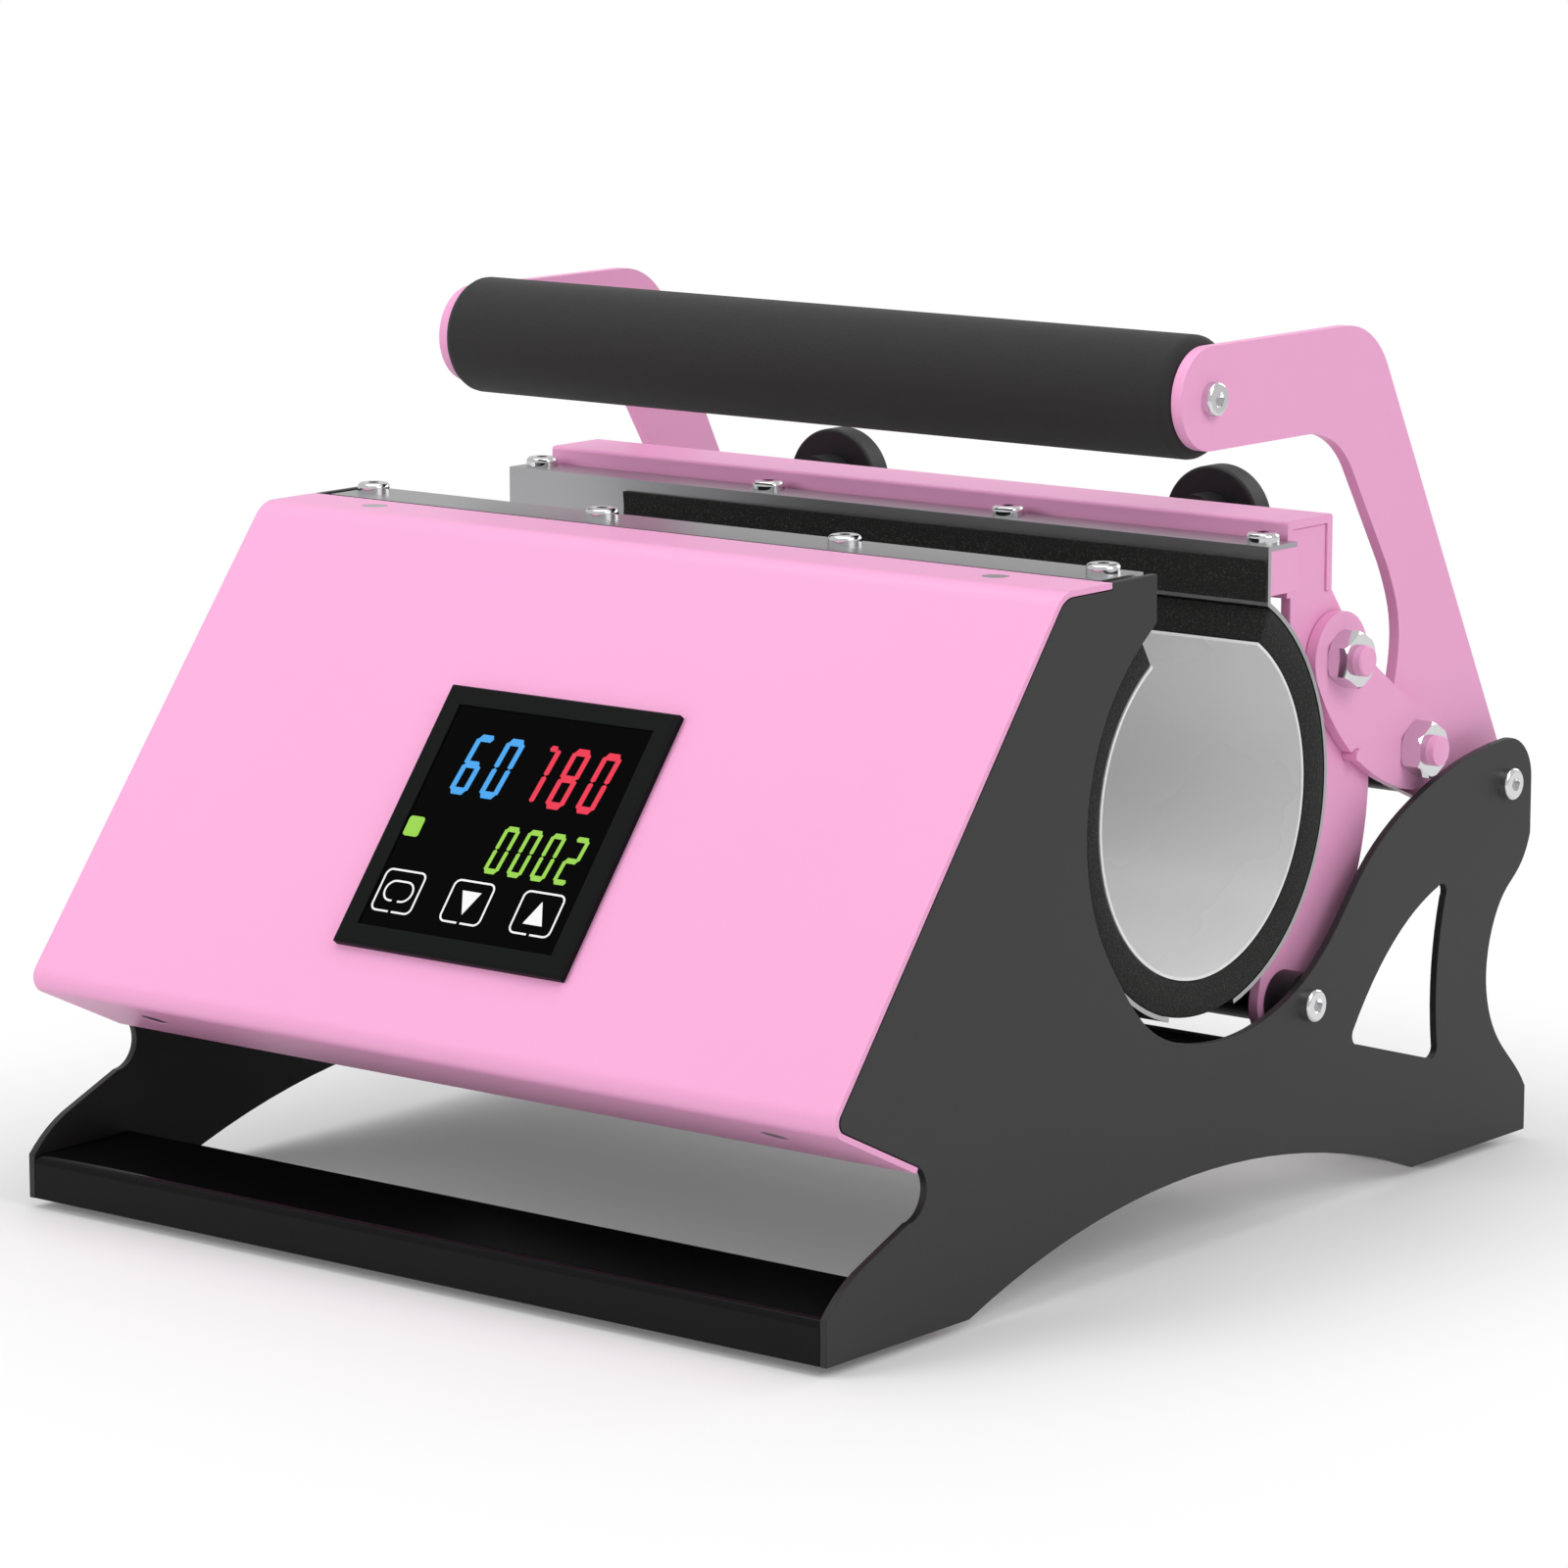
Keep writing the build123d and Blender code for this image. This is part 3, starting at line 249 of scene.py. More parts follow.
def grain_group():
    """Fine bumps of a given scale, as a height from 0 to 1."""
    group, enter, leave = new_group(
        "fine_grain",
        [("Scale", "NodeSocketFloat", 900.0), ("Roughen", "NodeSocketFloat", 0.6)],
        [("Height", "NodeSocketFloat")],
    )
    where = group.nodes.new("ShaderNodeTexCoord")
    noise = group.nodes.new("ShaderNodeTexNoise")
    noise.inputs["Detail"].default_value = 3.0
    group.links.new(where.outputs["Object"], noise.inputs["Vector"])
    group.links.new(enter.outputs["Scale"], noise.inputs["Scale"])
    group.links.new(enter.outputs["Roughen"], noise.inputs["Roughness"])
    group.links.new(noise.outputs["Fac"], leave.inputs["Height"])
    return group


def tone_group():
    """A colour and a gloss that drift slowly over a surface."""
    group, enter, leave = new_group(
        "tone_drift",
        [
            ("Color", "NodeSocketColor", None), ("Scale", "NodeSocketFloat", 12.0),
            ("Drift", "NodeSocketFloat", 0.05), ("Gloss Low", "NodeSocketFloat", 0.3),
            ("Gloss High", "NodeSocketFloat", 0.4),
        ],
        [("Color", "NodeSocketColor"), ("Roughness", "NodeSocketFloat")],
    )
    where = group.nodes.new("ShaderNodeTexCoord")
    cloud = group.nodes.new("ShaderNodeTexNoise")
    cloud.inputs["Detail"].default_value = 4.0
    group.links.new(where.outputs["Object"], cloud.inputs["Vector"])
    group.links.new(enter.outputs["Scale"], cloud.inputs["Scale"])
    dark = group.nodes.new("ShaderNodeMath")
    dark.operation = "SUBTRACT"
    dark.inputs[0].default_value = 1.0
    group.links.new(enter.outputs["Drift"], dark.inputs[1])
    level = group.nodes.new("ShaderNodeMapRange")
    group.links.new(cloud.outputs["Fac"], level.inputs["Value"])
    group.links.new(dark.outputs[0], level.inputs["To Min"])
    level.inputs["To Max"].default_value = 1.0
    tint = group.nodes.new("ShaderNodeVectorMath")
    tint.operation = "SCALE"
    group.links.new(enter.outputs["Color"], tint.inputs[0])
    group.links.new(level.outputs["Result"], tint.inputs["Scale"])
    group.links.new(tint.outputs["Vector"], leave.inputs["Color"])
    gloss = group.nodes.new("ShaderNodeMapRange")
    group.links.new(cloud.outputs["Fac"], gloss.inputs["Value"])
    group.links.new(enter.outputs["Gloss Low"], gloss.inputs["To Min"])
    group.links.new(enter.outputs["Gloss High"], gloss.inputs["To Max"])
    group.links.new(gloss.outputs["Result"], leave.inputs["Roughness"])
    return group


GRAIN = grain_group()
TONE = tone_group()


def finish(name, color, gloss, grain_scale, grain_depth, drift=0.05, tone_scale=14.0, **sockets):
    """A material from the two shared effects, with plain values for its shader's other sockets."""
    material = bpy.data.materials.new(name)
    material.use_nodes = True
    tree = material.node_tree
    shader = tree.nodes["Principled BSDF"]
    tone = tree.nodes.new("ShaderNodeGroup")
    tone.node_tree = TONE
    tone.inputs["Color"].default_value = (*color, 1.0)
    tone.inputs["Scale"].default_value = tone_scale
    tone.inputs["Drift"].default_value = drift
    tone.inputs["Gloss Low"].default_value = gloss[0]
    tone.inputs["Gloss High"].default_value = gloss[1]
    tree.links.new(tone.outputs["Color"], shader.inputs["Base Color"])
    tree.links.new(tone.outputs["Roughness"], shader.inputs["Roughness"])
    grain = tree.nodes.new("ShaderNodeGroup")
    grain.node_tree = GRAIN
    grain.inputs["Scale"].default_value = grain_scale
    bump = tree.nodes.new("ShaderNodeBump")
    bump.inputs["Distance"].default_value = grain_depth
    tree.links.new(grain.outputs["Height"], bump.inputs["Height"])
    tree.links.new(bump.outputs["Normal"], shader.inputs["Normal"])
    for label, value in sockets.items():
        shader.inputs[label.replace("_", " ")].default_value = value
    return material


# %% [markdown]
# The sheet metal has three coats. The cover, the arms and the clamp bar are in a
# smooth satin pink, the side plates in a finely grained dark grey, and the folded
# beams in a smooth glossy black. The grain is a fraction of a millimetre, so it
# only shows close up, as it does on real powder coat.

# %% Coated metal
pink_coat = finish(
    "pink_powder_coat", (0.86, 0.385, 0.64), (0.34, 0.42), 1500.0, 0.00002, 0.03, Specular_IOR_Level=0.3
)
grey_coat = finish(
    "dark_grey_powder_coat", (0.018, 0.018, 0.018), (0.36, 0.46), 2600.0, 0.00004, 0.10,
    Specular_IOR_Level=0.35,
)
black_coat = finish(
    "gloss_black_paint", (0.004, 0.004, 0.004), (0.10, 0.16), 700.0, 0.00001, 0.10, Specular_IOR_Level=0.12
)
black_steel = finish(
    "black_oxide_steel", (0.010, 0.010, 0.010), (0.32, 0.45), 1800.0, 0.00003, 0.15, Specular_IOR_Level=0.3
)

# %% [markdown]
# Bare metal comes in three kinds. The jaw shells are sheet steel, polished along
# its length, the screws and nuts are bright plated, and the inlet's pins are
# brass. They differ in colour, in roughness and in how deep the polishing marks are.

# %% Bare metal
sheet_steel = finish(
    "polished_sheet_steel", (0.44, 0.44, 0.45), (0.26, 0.38), 1200.0, 0.000015, 0.08, Metallic=1.0
)
bright_plate = finish(
    "bright_nickel_plate", (0.74, 0.74, 0.75), (0.05, 0.12), 900.0, 0.00001, 0.08, Metallic=1.0
)
zinc_plate = finish("zinc_plated_steel", (0.55, 0.56, 0.58), (0.25, 0.4), 1500.0, 0.00002, 0.15, Metallic=1.0)
pin_brass = finish("pin_brass", (0.72, 0.52, 0.22), (0.18, 0.3), 1500.0, 0.00001, 0.1, Metallic=1.0)

# %% [markdown]
# The mouldings are matt black: fine-grained plastic on the knobs and the inlet,
# a smoother frame around the screen, rubber feet and the open-celled foam of the
# grip. Foam is the roughest, with a soft sheen where light grazes its cells.

# %% Plastic, rubber and foam
knob_plastic = finish(
    "knob_plastic", (0.013, 0.013, 0.014), (0.42, 0.55), 2200.0, 0.00006, 0.12, Specular_IOR_Level=0.3
)
frame_plastic = finish(
    "screen_frame_plastic", (0.0058, 0.0066, 0.0064), (0.38, 0.46), 2400.0, 0.00003, 0.08,
    Specular_IOR_Level=0.06,
)
socket_plastic = finish("socket_plastic", (0.012, 0.012, 0.012), (0.4, 0.5), 1800.0, 0.00004, 0.12)
foot_rubber = finish("foot_rubber", (0.010, 0.010, 0.010), (0.6, 0.75), 1500.0, 0.00006, 0.2)
grip_foam = finish(
    "grip_foam", (0.024, 0.023, 0.0235), (0.72, 0.85), 2300.0, 0.00016, 0.16, 30.0,
    Specular_IOR_Level=0.25, Sheen_Weight=0.08, Sheen_Roughness=0.5,
)
screen_glass = finish(
    "screen_glass", (0.0006, 0.0006, 0.0006), (0.08, 0.12), 600.0, 0.000001, 0.05, Specular_IOR_Level=0.03
)

# %% [markdown]
# The two linings are soft. The felt is a dense black mat whose fibres show as fine
# pale specks, and the liner is a smooth white rubber skin. For the felt, a second
# noise picks the specks and lightens them.

# %% Felt and liner
white_liner = finish("white_liner_rubber", (0.82, 0.82, 0.82), (0.24, 0.32), 1200.0, 0.00003, 0.03)
felt_mat = finish(
    "black_felt", (0.013, 0.013, 0.0125), (0.85, 0.95), 1600.0, 0.00022, 0.3, 60.0,
    Specular_IOR_Level=0.2, Sheen_Weight=0.05, Sheen_Roughness=0.6,
)
FIBRE_SCALE = 2600.0
FIBRE_COLOR = (0.055, 0.055, 0.052, 1.0)
FIBRE_FROM, FIBRE_TO = 0.56, 0.70
felt_tree = felt_mat.node_tree
felt_shader = felt_tree.nodes["Principled BSDF"]
felt_where = felt_tree.nodes.new("ShaderNodeTexCoord")
fibre = felt_tree.nodes.new("ShaderNodeTexNoise")
fibre.inputs["Scale"].default_value = FIBRE_SCALE
fibre.inputs["Detail"].default_value = 2.0
fibre_pick = felt_tree.nodes.new("ShaderNodeMapRange")
fibre_pick.inputs["From Min"].default_value = FIBRE_FROM
fibre_pick.inputs["From Max"].default_value = FIBRE_TO
fibre_mix = felt_tree.nodes.new("ShaderNodeMix")
fibre_mix.data_type = "RGBA"
fibre_mix.inputs[7].default_value = FIBRE_COLOR
felt_tone = felt_shader.inputs["Base Color"].links[0].from_socket
felt_tree.links.new(felt_where.outputs["Object"], fibre.inputs["Vector"])
felt_tree.links.new(fibre.outputs["Fac"], fibre_pick.inputs["Value"])
felt_tree.links.new(fibre_pick.outputs["Result"], fibre_mix.inputs[0])
felt_tree.links.new(felt_tone, fibre_mix.inputs[6])
felt_tree.links.new(fibre_mix.outputs[2], felt_shader.inputs["Base Color"])

# %% [markdown]
# Every construction piece now takes its finish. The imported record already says
# which paint or metal each piece has, so the finishes are handed out by that slot.
# The one exception is the cover's screws, which are duller than the others.

# %% Hand out the finishes
BY_SLOT = {
    "pink_paint": pink_coat, "pink_bolts": pink_coat, "grey_paint": grey_coat,
    "black_gloss_paint": black_coat, "black_oxide_steel": black_steel,
    "polished_steel": sheet_steel, "black_felt": felt_mat, "white_liner": white_liner,
    "bright_hardware": bright_plate, "grip_foam": grip_foam, "knob_plastic": knob_plastic,
    "stud_steel": zinc_plate, "bezel_plastic": frame_plastic, "screen": screen_glass,
    "socket_plastic": socket_plastic, "brass_pins": pin_brass, "foot_rubber": foot_rubber,
}


def coat(piece, material):
    """Give a piece one material and nothing else."""
    piece.data.materials.clear()
    piece.data.materials.append(material)


slot_of = {entry["node"]: entry["material_slot"] for entry in frame["record"]["subparts"]}
for node_name, node in nodes.items():
    coat(node, BY_SLOT[slot_of[node_name]])
coat(nodes["cover_screws"], zinc_plate)
print("finishes used:", len(set(slot_of.values())))

# %% [markdown]
# Real sheet metal has a tiny rounded edge that catches the light, and it is what
# makes a render look like a thing. The construction meshes are loose triangles,
# so each is welded, its flat faces are joined up, and a narrow bevel is put on
# the sharp edges. All of it is modifiers, so the mesh itself stays as it was.

# %% Softened edges
EDGE = {
    "side_plate_left": 0.00022, "side_plate_right": 0.00022, "front_cover": 0.0002,
    "front_beam": 0.00035, "rear_beam": 0.00035, "clamp_bar": 0.0002,
    "jaw_plate_left": 0.0003, "jaw_plate_right": 0.0003, "link_left": 0.0003,
    "link_right": 0.0003, "handle_arm_left": 0.0004, "handle_arm_right": 0.0004,
    "front_jaw_shell": 0.00015, "rear_jaw_shell": 0.00015, "controller_bezel": 0.00015,
    "rear_mount_bar": 0.0002, "front_mount_bar": 0.0002, "stop_pins": 0.00015,
    "link_jaw_bolts": 0.0002, "power_inlet": 0.00015, "power_switch": 0.00015,
    "power_rocker": 0.0002, "cross_beam": 0.0003,
}
FLAT_WITHIN = math.radians(0.6)
SHARP_OVER = math.radians(35.0)


def soften(piece, width):
    """Weld a construction mesh and round its sharp edges, with live modifiers."""
    weld = piece.modifiers.new("weld", "WELD")
    weld.merge_threshold = 0.000002
    flat = piece.modifiers.new("flat", "DECIMATE")
    flat.decimate_type = "DISSOLVE"
    flat.angle_limit = FLAT_WITHIN
    edge = piece.modifiers.new("edge", "BEVEL")
    edge.width = width
    edge.segments = 2
    edge.limit_method = "ANGLE"
    edge.angle_limit = SHARP_OVER
    edge.harden_normals = False
    smooth = piece.modifiers.new("normals", "WEIGHTED_NORMAL")
    smooth.keep_sharp = True


for node_name, width in EDGE.items():
    soften(nodes[node_name], width)

# %% [markdown]
# The rest is modelled by hand. An operator acts on whatever is selected, so each step first picks what it
# means to change. One helper selects vertices, edges or faces by where they are. Another settles a finished
# piece: its place goes into its mesh, and it gets its name, its finish and the body it rides on.

# %% Helpers for modelling
MM = 0.001
TOUCHING = 0.000002
NEAR = 0.01 * MM
SOFT_OVER = 40.0
CRISP_OVER = 25.0


def choose(piece, kind, test):
    """Open edit mode with only the elements selected whose middle passes the test."""
    bpy.context.view_layer.objects.active = piece
    bpy.ops.object.mode_set(mode="EDIT")
    bpy.ops.mesh.select_mode(type=kind)
    bpy.ops.mesh.select_all(action="DESELECT")
    shape = bmesh.from_edit_mesh(piece.data)
    group = {"VERT": shape.verts, "EDGE": shape.edges, "FACE": shape.faces}[kind]
    for item in group:
        corners = [item.co] if kind == "VERT" else [vertex.co for vertex in item.verts]
        item.select_set(test(sum(corners, Vector()) / len(corners)))
    shape.select_flush_mode()
    bmesh.update_edit_mesh(piece.data)


def close_edit():
    """Leave edit mode."""
    bpy.ops.object.mode_set(mode="OBJECT")


def apply_place(piece):
    """Move a piece's place, turn and scale into its mesh."""
    bpy.ops.object.select_all(action="DESELECT")
    piece.select_set(True)
    bpy.context.view_layer.objects.active = piece
    bpy.ops.object.transform_apply(location=True, rotation=True, scale=True)


def shade_soft(piece, degrees):
    """Smooth shading, kept crisp where faces meet at more than an angle."""
    bpy.ops.object.select_all(action="DESELECT")
    piece.select_set(True)
    bpy.context.view_layer.objects.active = piece
    bpy.ops.object.shade_smooth_by_angle(angle=math.radians(degrees))
    bpy.ops.object.select_all(action="DESELECT")


def apply_modifier(piece, modifier):
    """Make a modifier's result the piece's own mesh."""
    bpy.context.view_layer.objects.active = piece
    bpy.ops.object.modifier_apply(modifier=modifier.name)


def combine(piece, other, operation):
    """Boolean of two pieces. The other one is used up."""
    cut = piece.modifiers.new("cut", "BOOLEAN")
    cut.operation = operation
    cut.solver = "EXACT"
    cut.object = other
    apply_modifier(piece, cut)
    bpy.data.objects.remove(other)


def face_out(piece):
    """Merge doubles and point every face outwards."""
    choose(piece, "VERT", lambda middle: True)
    bpy.ops.mesh.remove_doubles(threshold=TOUCHING)
    bpy.ops.mesh.normals_make_consistent(inside=False)
    close_edit()


def settle(piece, name, material, body=None):
    """Name a finished piece, give it its finish, and let it ride."""
    apply_place(piece)
    piece.name = name
    piece.data.name = name
    coat(piece, material)
    if body:
        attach(piece, body)
    bpy.ops.object.select_all(action="DESELECT")


def copy_of(piece, matrix):
    """A copy with its own mesh, moved by a matrix."""
    twin = piece.copy()
    twin.data = piece.data.copy()
    twin.data.transform(matrix)
    bpy.context.scene.collection.objects.link(twin)
    return twin


# %% [markdown]
# The felt is one thick mat that goes all round the tumbler, and bends along the
# bottom when the jaw opens. The construction has it in three stiff parts, so here
# it is one strip: its cross-section is a small plane, spun round the ring's axis.
# Spin suits it better than a bent cylinder, because the angles stay exact.

# %% Felt and liner rings
front_low, front_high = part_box("front_felt")
rear_low, rear_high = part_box("rear_felt")
RING_OUTER = (rear_high.y - front_low.y) / 2
RING_Y = (rear_high.y + front_low.y) / 2
RING_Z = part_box("free_felt")[0].z + RING_OUTER
MAT_LEFT, MAT_RIGHT = front_low.x, front_high.x
LINER_OUTER = (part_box("rear_liner")[1].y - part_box("front_liner")[0].y) / 2
LINER_SHEET = 0.8 * MM
MAT_GAP = 0.1 * MM
MOUTH_HALF = 27.0 * MM
MOUTH_ANGLE = math.acos(MOUTH_HALF / RING_OUTER) - math.radians(1.0)
FELT_ROLL = 0.7 * MM
FELT_CORNER = math.radians(50.0)
RING_STEPS = 132


def spun_strip(inner, outer, left, right):
    """A strip round the ring's axis, from the front lip down and up to the rear lip."""
    start = math.pi - MOUTH_ANGLE
    middle = (inner + outer) / 2
    place = ((left + right) / 2, RING_Y + middle * math.cos(start), RING_Z + middle * math.sin(start))
    bpy.ops.mesh.primitive_plane_add(size=1.0, location=place, rotation=(start, 0.0, 0.0))
    strip = bpy.context.object
    strip.scale = (right - left, outer - inner, 1.0)
    apply_place(strip)
    choose(strip, "FACE", lambda middle: True)
    sweep = math.pi + 2 * MOUTH_ANGLE
    bpy.ops.mesh.spin(steps=RING_STEPS, angle=sweep, center=(0.0, RING_Y, RING_Z), axis=(-1.0, 0.0, 0.0))
    close_edit()
    face_out(strip)
    return strip


def bend_across_hinge(piece):
    """Move the ring's place into its mesh."""
    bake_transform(piece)


felt_ring = spun_strip(LINER_OUTER + MAT_GAP, RING_OUTER, MAT_LEFT, MAT_RIGHT)
choose(felt_ring, "EDGE", lambda middle: False)
bpy.ops.mesh.edges_select_sharp(sharpness=FELT_CORNER)
bpy.ops.mesh.bevel(offset=FELT_ROLL, segments=3)
close_edit()
settle(felt_ring, "felt_ring", felt_mat)
shade_soft(felt_ring, SOFT_OVER)
bend_across_hinge(felt_ring)
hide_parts("front_felt", "rear_felt", "free_felt")

liner_ring = spun_strip(LINER_OUTER - LINER_SHEET, LINER_OUTER, MAT_LEFT, MAT_RIGHT)
settle(liner_ring, "liner_ring", white_liner)
shade_soft(liner_ring, SOFT_OVER)
bend_across_hinge(liner_ring)
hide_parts("front_liner", "rear_liner", "free_liner")
print("ring radius in mm:", round(RING_OUTER / MM, 2))

# %% [markdown]
# Each jaw's upright lip is covered by a thin felt strip. In the picture it is laid
# in two bands with a faint crease between them, so a cube of its size is cut twice
# by a plane, and the narrow band between the cuts is pushed in.

# %% Lip strips
CREASE_UP = 0.62
CREASE_WIDTH = 0.5 * MM
CREASE_DEPTH = 0.35 * MM
CREASE_NEAR = CREASE_WIDTH / 4
STRIP_ROLL = 0.18 * MM


def lip_strip(node_name, body, inward):
    """A felt strip with a crease, in the place of a plain one."""
    low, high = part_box(node_name)
    middle = (low + high) / 2
    bpy.ops.mesh.primitive_cube_add(size=1.0, location=middle)
    strip = bpy.context.object
    strip.scale = high - low
    apply_place(strip)
    crease = low.z + CREASE_UP * (high.z - low.z)
    for height in (crease - CREASE_WIDTH / 2, crease + CREASE_WIDTH / 2):
        choose(strip, "FACE", lambda middle: True)
        bpy.ops.mesh.bisect(plane_co=(0.0, 0.0, height), plane_no=(0.0, 0.0, 1.0))
        close_edit()
    shown = low.y if inward < 0 else high.y
    choose(
        strip, "FACE",
        lambda middle: abs(middle.z - crease) < CREASE_NEAR and abs(middle.y - shown) < CREASE_NEAR,
    )
    bpy.ops.transform.translate(value=(0.0, -inward * CREASE_DEPTH, 0.0))
    close_edit()
    edge = strip.modifiers.new("edge", "BEVEL")
    edge.width = STRIP_ROLL
    edge.segments = 2
    apply_modifier(strip, edge)
    settle(strip, node_name + "_felt", felt_mat, body)
    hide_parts(node_name)


lip_strip("front_lip_pad", "base", 1)
lip_strip("rear_lip_pad", "jaw", -1)

# %% [markdown]
# The grip is a foam sleeve pushed over a steel tube. It starts as a cylinder on
# its side. Its end rims are rolled over with a bevel, and each end face is inset
# and pushed in, so that the foam shows its wall round the tube.

# %% Foam grip
grip_low, grip_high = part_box("handle_grip")
GRIP_ROLL = 3.0 * MM
GRIP_WALL = 4.3 * MM
GRIP_DISH = 1.5 * MM
grip_middle = (grip_low + grip_high) / 2
grip_radius = (grip_high.z - grip_low.z) / 2
grip_half = (grip_high.x - grip_low.x) / 2
grip_core = (grip_radius - GRIP_WALL + MM) / 2
bpy.ops.mesh.primitive_cylinder_add(
    vertices=96, radius=grip_radius, depth=2 * grip_half, location=grip_middle,
    rotation=(0.0, math.pi / 2, 0.0),
)
grip = bpy.context.object
apply_place(grip)
choose(grip, "EDGE", lambda middle: abs(abs(middle.x) - grip_half) < MM)
bpy.ops.mesh.bevel(offset=GRIP_ROLL, segments=5)
close_edit()
choose(grip, "FACE", lambda middle: abs(abs(middle.x) - grip_half) < NEAR)
bpy.ops.mesh.inset(thickness=GRIP_WALL - GRIP_ROLL)
close_edit()
for hand in (-1, 1):
    choose(
        grip, "FACE",
        lambda middle: hand * middle.x > grip_half - NEAR
        and math.hypot(middle.y - grip_middle.y, middle.z - grip_middle.z) < grip_core,
    )
    bpy.ops.mesh.extrude_region_move(TRANSFORM_OT_translate={"value": (-hand * GRIP_DISH, 0.0, 0.0)})
    close_edit()
settle(grip, "foam_grip", grip_foam, "handle")
shade_soft(grip, SOFT_OVER)
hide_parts("handle_grip")

# %% [markdown]
# A hexagon nut is the common part of a six-sided prism and a disc with chamfered
# rims, which is how a real one is turned on a lathe. It is made once and copied
# to the four link pivots, turned as the construction has it.

# %% Nuts and bolt ends
NUT_FLATS = 13.0 * MM
NUT_HEIGHT = 5.8 * MM
NUT_CHAMFER = 0.7 * MM
NUT_TURN = math.radians(30.0)
BOLT_RADIUS = 4.0 * MM
BOLT_FIT = 0.05 * MM
BOLT_ROLL = 0.5 * MM
nut_corner = NUT_FLATS / math.sqrt(3)

bpy.ops.mesh.primitive_cylinder_add(vertices=6, radius=nut_corner, depth=NUT_HEIGHT)
nut = bpy.context.object
bpy.ops.mesh.primitive_cylinder_add(vertices=96, radius=nut_corner, depth=NUT_HEIGHT)
lathe = bpy.context.object
choose(lathe, "EDGE", lambda middle: abs(abs(middle.z) - NUT_HEIGHT / 2) < NEAR)
bpy.ops.mesh.bevel(offset=NUT_CHAMFER, segments=1)
close_edit()
combine(nut, lathe, "INTERSECT")
bpy.ops.mesh.primitive_cylinder_add(vertices=48, radius=BOLT_RADIUS + BOLT_FIT, depth=2 * NUT_HEIGHT)
combine(nut, bpy.context.object, "DIFFERENCE")
nut.data.transform(Matrix.Rotation(math.pi / 2, 4, "Y"))

bpy.ops.mesh.primitive_cylinder_add(vertices=48, radius=BOLT_RADIUS, depth=1.0)
bolt = bpy.context.object
bolt.data.transform(Matrix.Rotation(math.pi / 2, 4, "Y"))

jaw_nuts_low, jaw_nuts_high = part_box("link_jaw_nuts")
nut_outer = jaw_nuts_high.x
jaw_pin = (jaw_nuts_low + jaw_nuts_high) / 2
arm_bolt_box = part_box("link_fasteners_right")
arm_pin = sum(arm_bolt_box, Vector()) / 2
for hand, hand_name in ((-1, "left"), (1, "right")):
    for pin, body, pin_name in ((jaw_pin, "jaw", "jaw"), (arm_pin, f"link_{hand_name}", "arm")):
        place = Matrix.Translation((hand * (nut_outer - NUT_HEIGHT / 2), pin.y, pin.z))
        piece = copy_of(nut, place @ Matrix.Rotation(NUT_TURN, 4, "X"))
        settle(piece, f"{pin_name}_nut_{hand_name}", bright_plate, body)
        shade_soft(piece, CRISP_OVER)
        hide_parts("link_jaw_nuts" if body == "jaw" else f"link_fasteners_{hand_name}")
    length = arm_bolt_box[1].x - arm_bolt_box[0].x
    place = Matrix.Translation((hand * (arm_bolt_box[0].x + length / 2), arm_pin.y, arm_pin.z))
    piece = copy_of(bolt, place @ Matrix.Diagonal((length, 1.0, 1.0, 1.0)))
    end = hand * arm_bolt_box[1].x
    choose(piece, "EDGE", lambda middle: abs(middle.x - end) < NEAR)
    bpy.ops.mesh.bevel(offset=BOLT_ROLL, segments=2)
    close_edit()
    settle(piece, f"arm_bolt_end_{hand_name}", pink_coat, f"link_{hand_name}")
    shade_soft(piece, SOFT_OVER)
    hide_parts(f"link_fasteners_{hand_name}")
bpy.data.objects.remove(nut)
bpy.data.objects.remove(bolt)

# %% [markdown]
# The figures on the screen glow through black glass. Each is a set of slanted
# bars: six-cornered bars are made, then copied and turned for each lit segment.
# Everything is drawn flat on the panel's own plane, which is read from the glass,
# and then laid on it by one matrix.

# %% The panel's plane
glass = nodes["display_panel"]
glass_face = max(
    (face for face in glass.data.polygons if face.normal.z > 0.1 and face.normal.y < -0.1),
    key=lambda face: face.area,
)
panel_out = glass_face.normal.copy()
panel_up = panel_out.cross(Vector((1.0, 0.0, 0.0)))
glass_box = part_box("display_panel")
glass_middle = (glass_box[0] + glass_box[1]) / 2
panel_origin = glass_middle + panel_out * (glass_face.center - glass_middle).dot(panel_out)
PANEL = Matrix((
    (1.0, panel_up.x, panel_out.x, panel_origin.x),
    (0.0, panel_up.y, panel_out.y, panel_origin.y),
    (0.0, panel_up.z, panel_out.z, panel_origin.z),
    (0.0, 0.0, 0.0, 1.0),
))
print("slope of the panel in degrees:", round(math.degrees(math.acos(panel_out.z)), 1))


# %% Glowing inks
def ink(name, color):
    """A dark skin that glows in one colour, a little unevenly."""
    material = finish(name, (0.0, 0.0, 0.0), (0.3, 0.4), 900.0, 0.000002, 0.05, Specular_IOR_Level=0.05)
    tree = material.node_tree
    shader = tree.nodes["Principled BSDF"]
    glow = tree.nodes.new("ShaderNodeGroup")
    glow.node_tree = TONE
    glow.inputs["Color"].default_value = (*color, 1.0)
    glow.inputs["Scale"].default_value = 400.0
    glow.inputs["Drift"].default_value = 0.08
    tree.links.new(glow.outputs["Color"], shader.inputs["Emission Color"])
    shader.inputs["Emission Strength"].default_value = 1.0
    return material


blue_ink = ink("blue_figures", (0.085, 0.42, 0.93))
red_ink = ink("red_figures", (0.90, 0.055, 0.10))
green_ink = ink("green_figures", (0.36, 0.72, 0.10))
white_ink = ink("white_keys", (1.0, 1.0, 1.0))

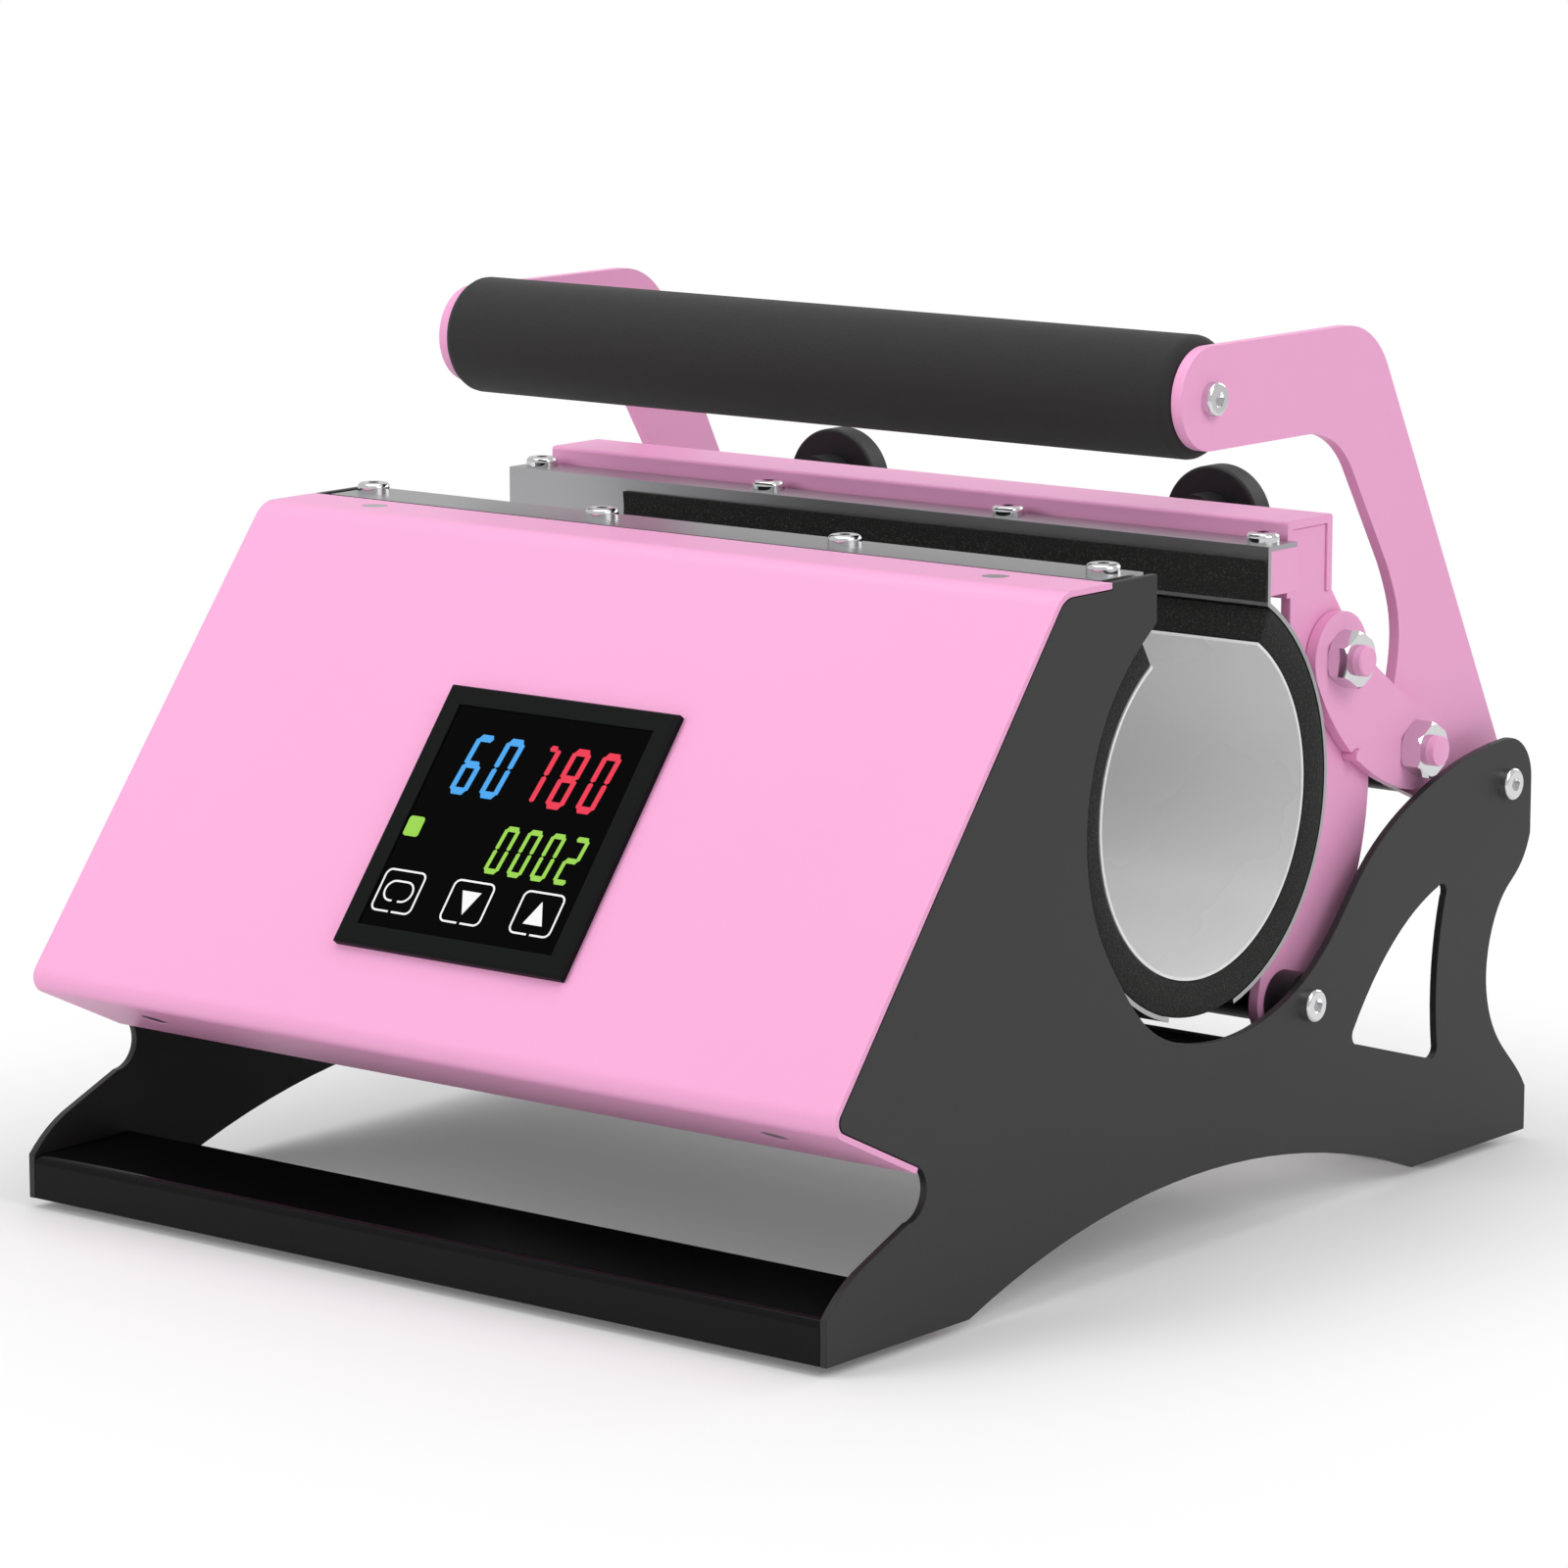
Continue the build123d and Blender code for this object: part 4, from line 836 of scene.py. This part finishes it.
# %% Seven-segment figures
INK_HEIGHT = 0.08 * MM
FIGURE_SLANT = -0.105
FIGURE_GAP = 0.12 * MM
UPRIGHT_THICK = 0.76
FLAG_LENGTH = 0.42
FLAG_THICK = 0.8
FLAG_BACK = 0.3
LIT = {"0": "abcdef", "1": "bct", "2": "abged", "6": "acdefg", "8": "abcdefg"}


def raise_ink(piece):
    """Give a flat shape its small height."""
    wall = piece.modifiers.new("wall", "SOLIDIFY")
    wall.thickness = INK_HEIGHT
    wall.offset = 1.0
    apply_modifier(piece, wall)


def bar(length, thick):
    """An upright bar with pointed ends."""
    bpy.ops.mesh.primitive_circle_add(vertices=6, radius=thick / math.sqrt(3), fill_type="NGON")
    piece = bpy.context.object
    reach = length / 2 - thick / math.sqrt(3)
    for hand in (-1, 1):
        choose(piece, "VERT", lambda middle: hand * middle.y > 0.01 * thick)
        bpy.ops.transform.translate(value=(0.0, hand * reach, 0.0))
        close_edit()
    raise_ink(piece)
    return piece


def lay_on_panel(parts, name, material, slant=0.0, about=0.0):
    """Join flat shapes, slant them about a height, and lay them on the glass."""
    bpy.ops.object.select_all(action="DESELECT")
    for part in parts:
        part.select_set(True)
    bpy.context.view_layer.objects.active = parts[0]
    if len(parts) > 1:
        bpy.ops.object.join()
    piece = bpy.context.view_layer.objects.active
    lean = Matrix.Identity(4)
    lean[0][1] = -slant
    lean[0][3] = slant * about
    piece.data.transform(PANEL @ lean)
    face_out(piece)
    settle(piece, name, material, "base")


def figures(name, word, left, bottom, width, height, pitch, thick, material):
    """A number in seven-segment figures, from its lower left corner."""
    side_x, end_y = width / 2 - UPRIGHT_THICK / 2 * thick, height / 2 - thick / 2
    upright = bar(end_y - FIGURE_GAP, UPRIGHT_THICK * thick)
    level = bar(2 * side_x + FIGURE_GAP, thick)
    level.data.transform(Matrix.Rotation(math.pi / 2, 4, "Z"))
    flag = bar(FLAG_LENGTH * width, FLAG_THICK * thick)
    flag.data.transform(Matrix.Rotation(math.pi / 2, 4, "Z"))
    spots = {
        "a": (level, 0, end_y), "g": (level, 0, 0), "d": (level, 0, -end_y),
        "b": (upright, side_x, end_y / 2), "c": (upright, side_x, -end_y / 2),
        "f": (upright, -side_x, end_y / 2), "e": (upright, -side_x, -end_y / 2),
        "t": (flag, side_x - FLAG_BACK * width, end_y),
    }
    parts = []
    for place, figure in enumerate(word):
        middle = Vector((left + place * pitch + width / 2, bottom + height / 2, 0.0))
        for letter in LIT[figure]:
            shape, x, y = spots[letter]
            parts.append(copy_of(shape, Matrix.Translation(middle + Vector((x, y, 0.0)))))
    for shape in (upright, level, flag):
        bpy.data.objects.remove(shape)
    lay_on_panel(parts, name, material, FIGURE_SLANT, bottom + height / 2)


BIG_FIGURE = {"width": 5.9 * MM, "height": 17.2 * MM, "thick": 2.0 * MM}
SMALL_FIGURE = {"width": 4.7 * MM, "height": 13.4 * MM, "thick": 1.45 * MM}
figures("time_figures", "60", -22.1 * MM, 7.1 * MM, pitch=9.8 * MM, material=blue_ink, **BIG_FIGURE)
figures("heat_figures", "180", -0.4 * MM, 6.9 * MM, pitch=9.7 * MM, material=red_ink, **BIG_FIGURE)
figures("count_figures", "0002", -0.3 * MM, -12.7 * MM, pitch=7.45 * MM, material=green_ink, **SMALL_FIGURE)

# %% [markdown]
# The three touch keys are rounded squares in white outline, each broken at its
# lower edge, with a loop, a down arrow and an up arrow inside. An outline is a
# plane with its corners bevelled and a thin band inset, whose middle is deleted.
# The break is cut out afterwards with a small block.

# %% Touch keys
KEY_SIZE = (13.3 * MM, 12.0 * MM)
KEY_CENTRES = (-23.6 * MM, -1.1 * MM, 21.4 * MM)
KEY_UP = -21.2 * MM
KEY_LINE = 0.5 * MM
KEY_BREAK = 1.1 * MM
KEY_CORNER = 2.0 * MM
LOOP_SIZE = (9.4 * MM, 6.0 * MM)
LOOP_CORNER = 2.95 * MM
LOOP_LINE = 0.5 * MM
LOOP_BREAK = 1.9 * MM
ARROW_RADIUS = 3.5 * MM
ARROW_STRETCH = 1.22
ARROW_LOWER = 0.9 * MM
BADGE_AT = (-28.3 * MM, -3.2 * MM)
BADGE_SIZE = (5.0 * MM, 5.6 * MM)
BADGE_CORNER = 0.9 * MM


def rounded_plate(middle, size, corner):
    """A flat plate with round corners."""
    bpy.ops.mesh.primitive_plane_add(size=1.0, location=(*middle, 0.0))
    plate = bpy.context.object
    plate.scale = (size[0], size[1], 1.0)
    apply_place(plate)
    choose(plate, "VERT", lambda middle: True)
    bpy.ops.mesh.bevel(offset=corner, segments=6, affect="VERTICES")
    close_edit()
    return plate


def outline(middle, size, corner, line, gap):
    """A rounded outline with a gap in its lower side."""
    ring = rounded_plate(middle, size, corner)
    choose(ring, "FACE", lambda middle: True)
    bpy.ops.mesh.inset(thickness=line)
    bpy.ops.mesh.delete(type="FACE")
    close_edit()
    raise_ink(ring)
    bpy.ops.mesh.primitive_cube_add(size=1.0, location=(middle[0], middle[1] - size[1] / 2 + line / 2, 0.0))
    block = bpy.context.object
    block.scale = (gap, 2 * line, 10 * INK_HEIGHT)
    apply_place(block)
    combine(ring, block, "DIFFERENCE")
    return ring


def arrow(middle, direction):
    """A filled triangle that points up or down."""
    bpy.ops.mesh.primitive_circle_add(vertices=3, radius=ARROW_RADIUS, fill_type="NGON")
    piece = bpy.context.object
    piece.scale = (1.0, ARROW_STRETCH, 1.0)
    piece.rotation_euler = (0.0, 0.0, 0.0 if direction > 0 else math.pi)
    piece.location = (middle[0], middle[1] - direction * ARROW_LOWER, 0.0)
    apply_place(piece)
    raise_ink(piece)
    return piece


keys = [outline((x, KEY_UP), KEY_SIZE, KEY_CORNER, KEY_LINE, KEY_BREAK) for x in KEY_CENTRES]
keys.append(outline((KEY_CENTRES[0], KEY_UP), LOOP_SIZE, LOOP_CORNER, LOOP_LINE, LOOP_BREAK))
keys.append(arrow((KEY_CENTRES[1], KEY_UP), -1))
keys.append(arrow((KEY_CENTRES[2], KEY_UP), 1))
lay_on_panel(keys, "touch_keys", white_ink)

status = rounded_plate(BADGE_AT, BADGE_SIZE, BADGE_CORNER)
raise_ink(status)
lay_on_panel([status], "status_light", green_ink)
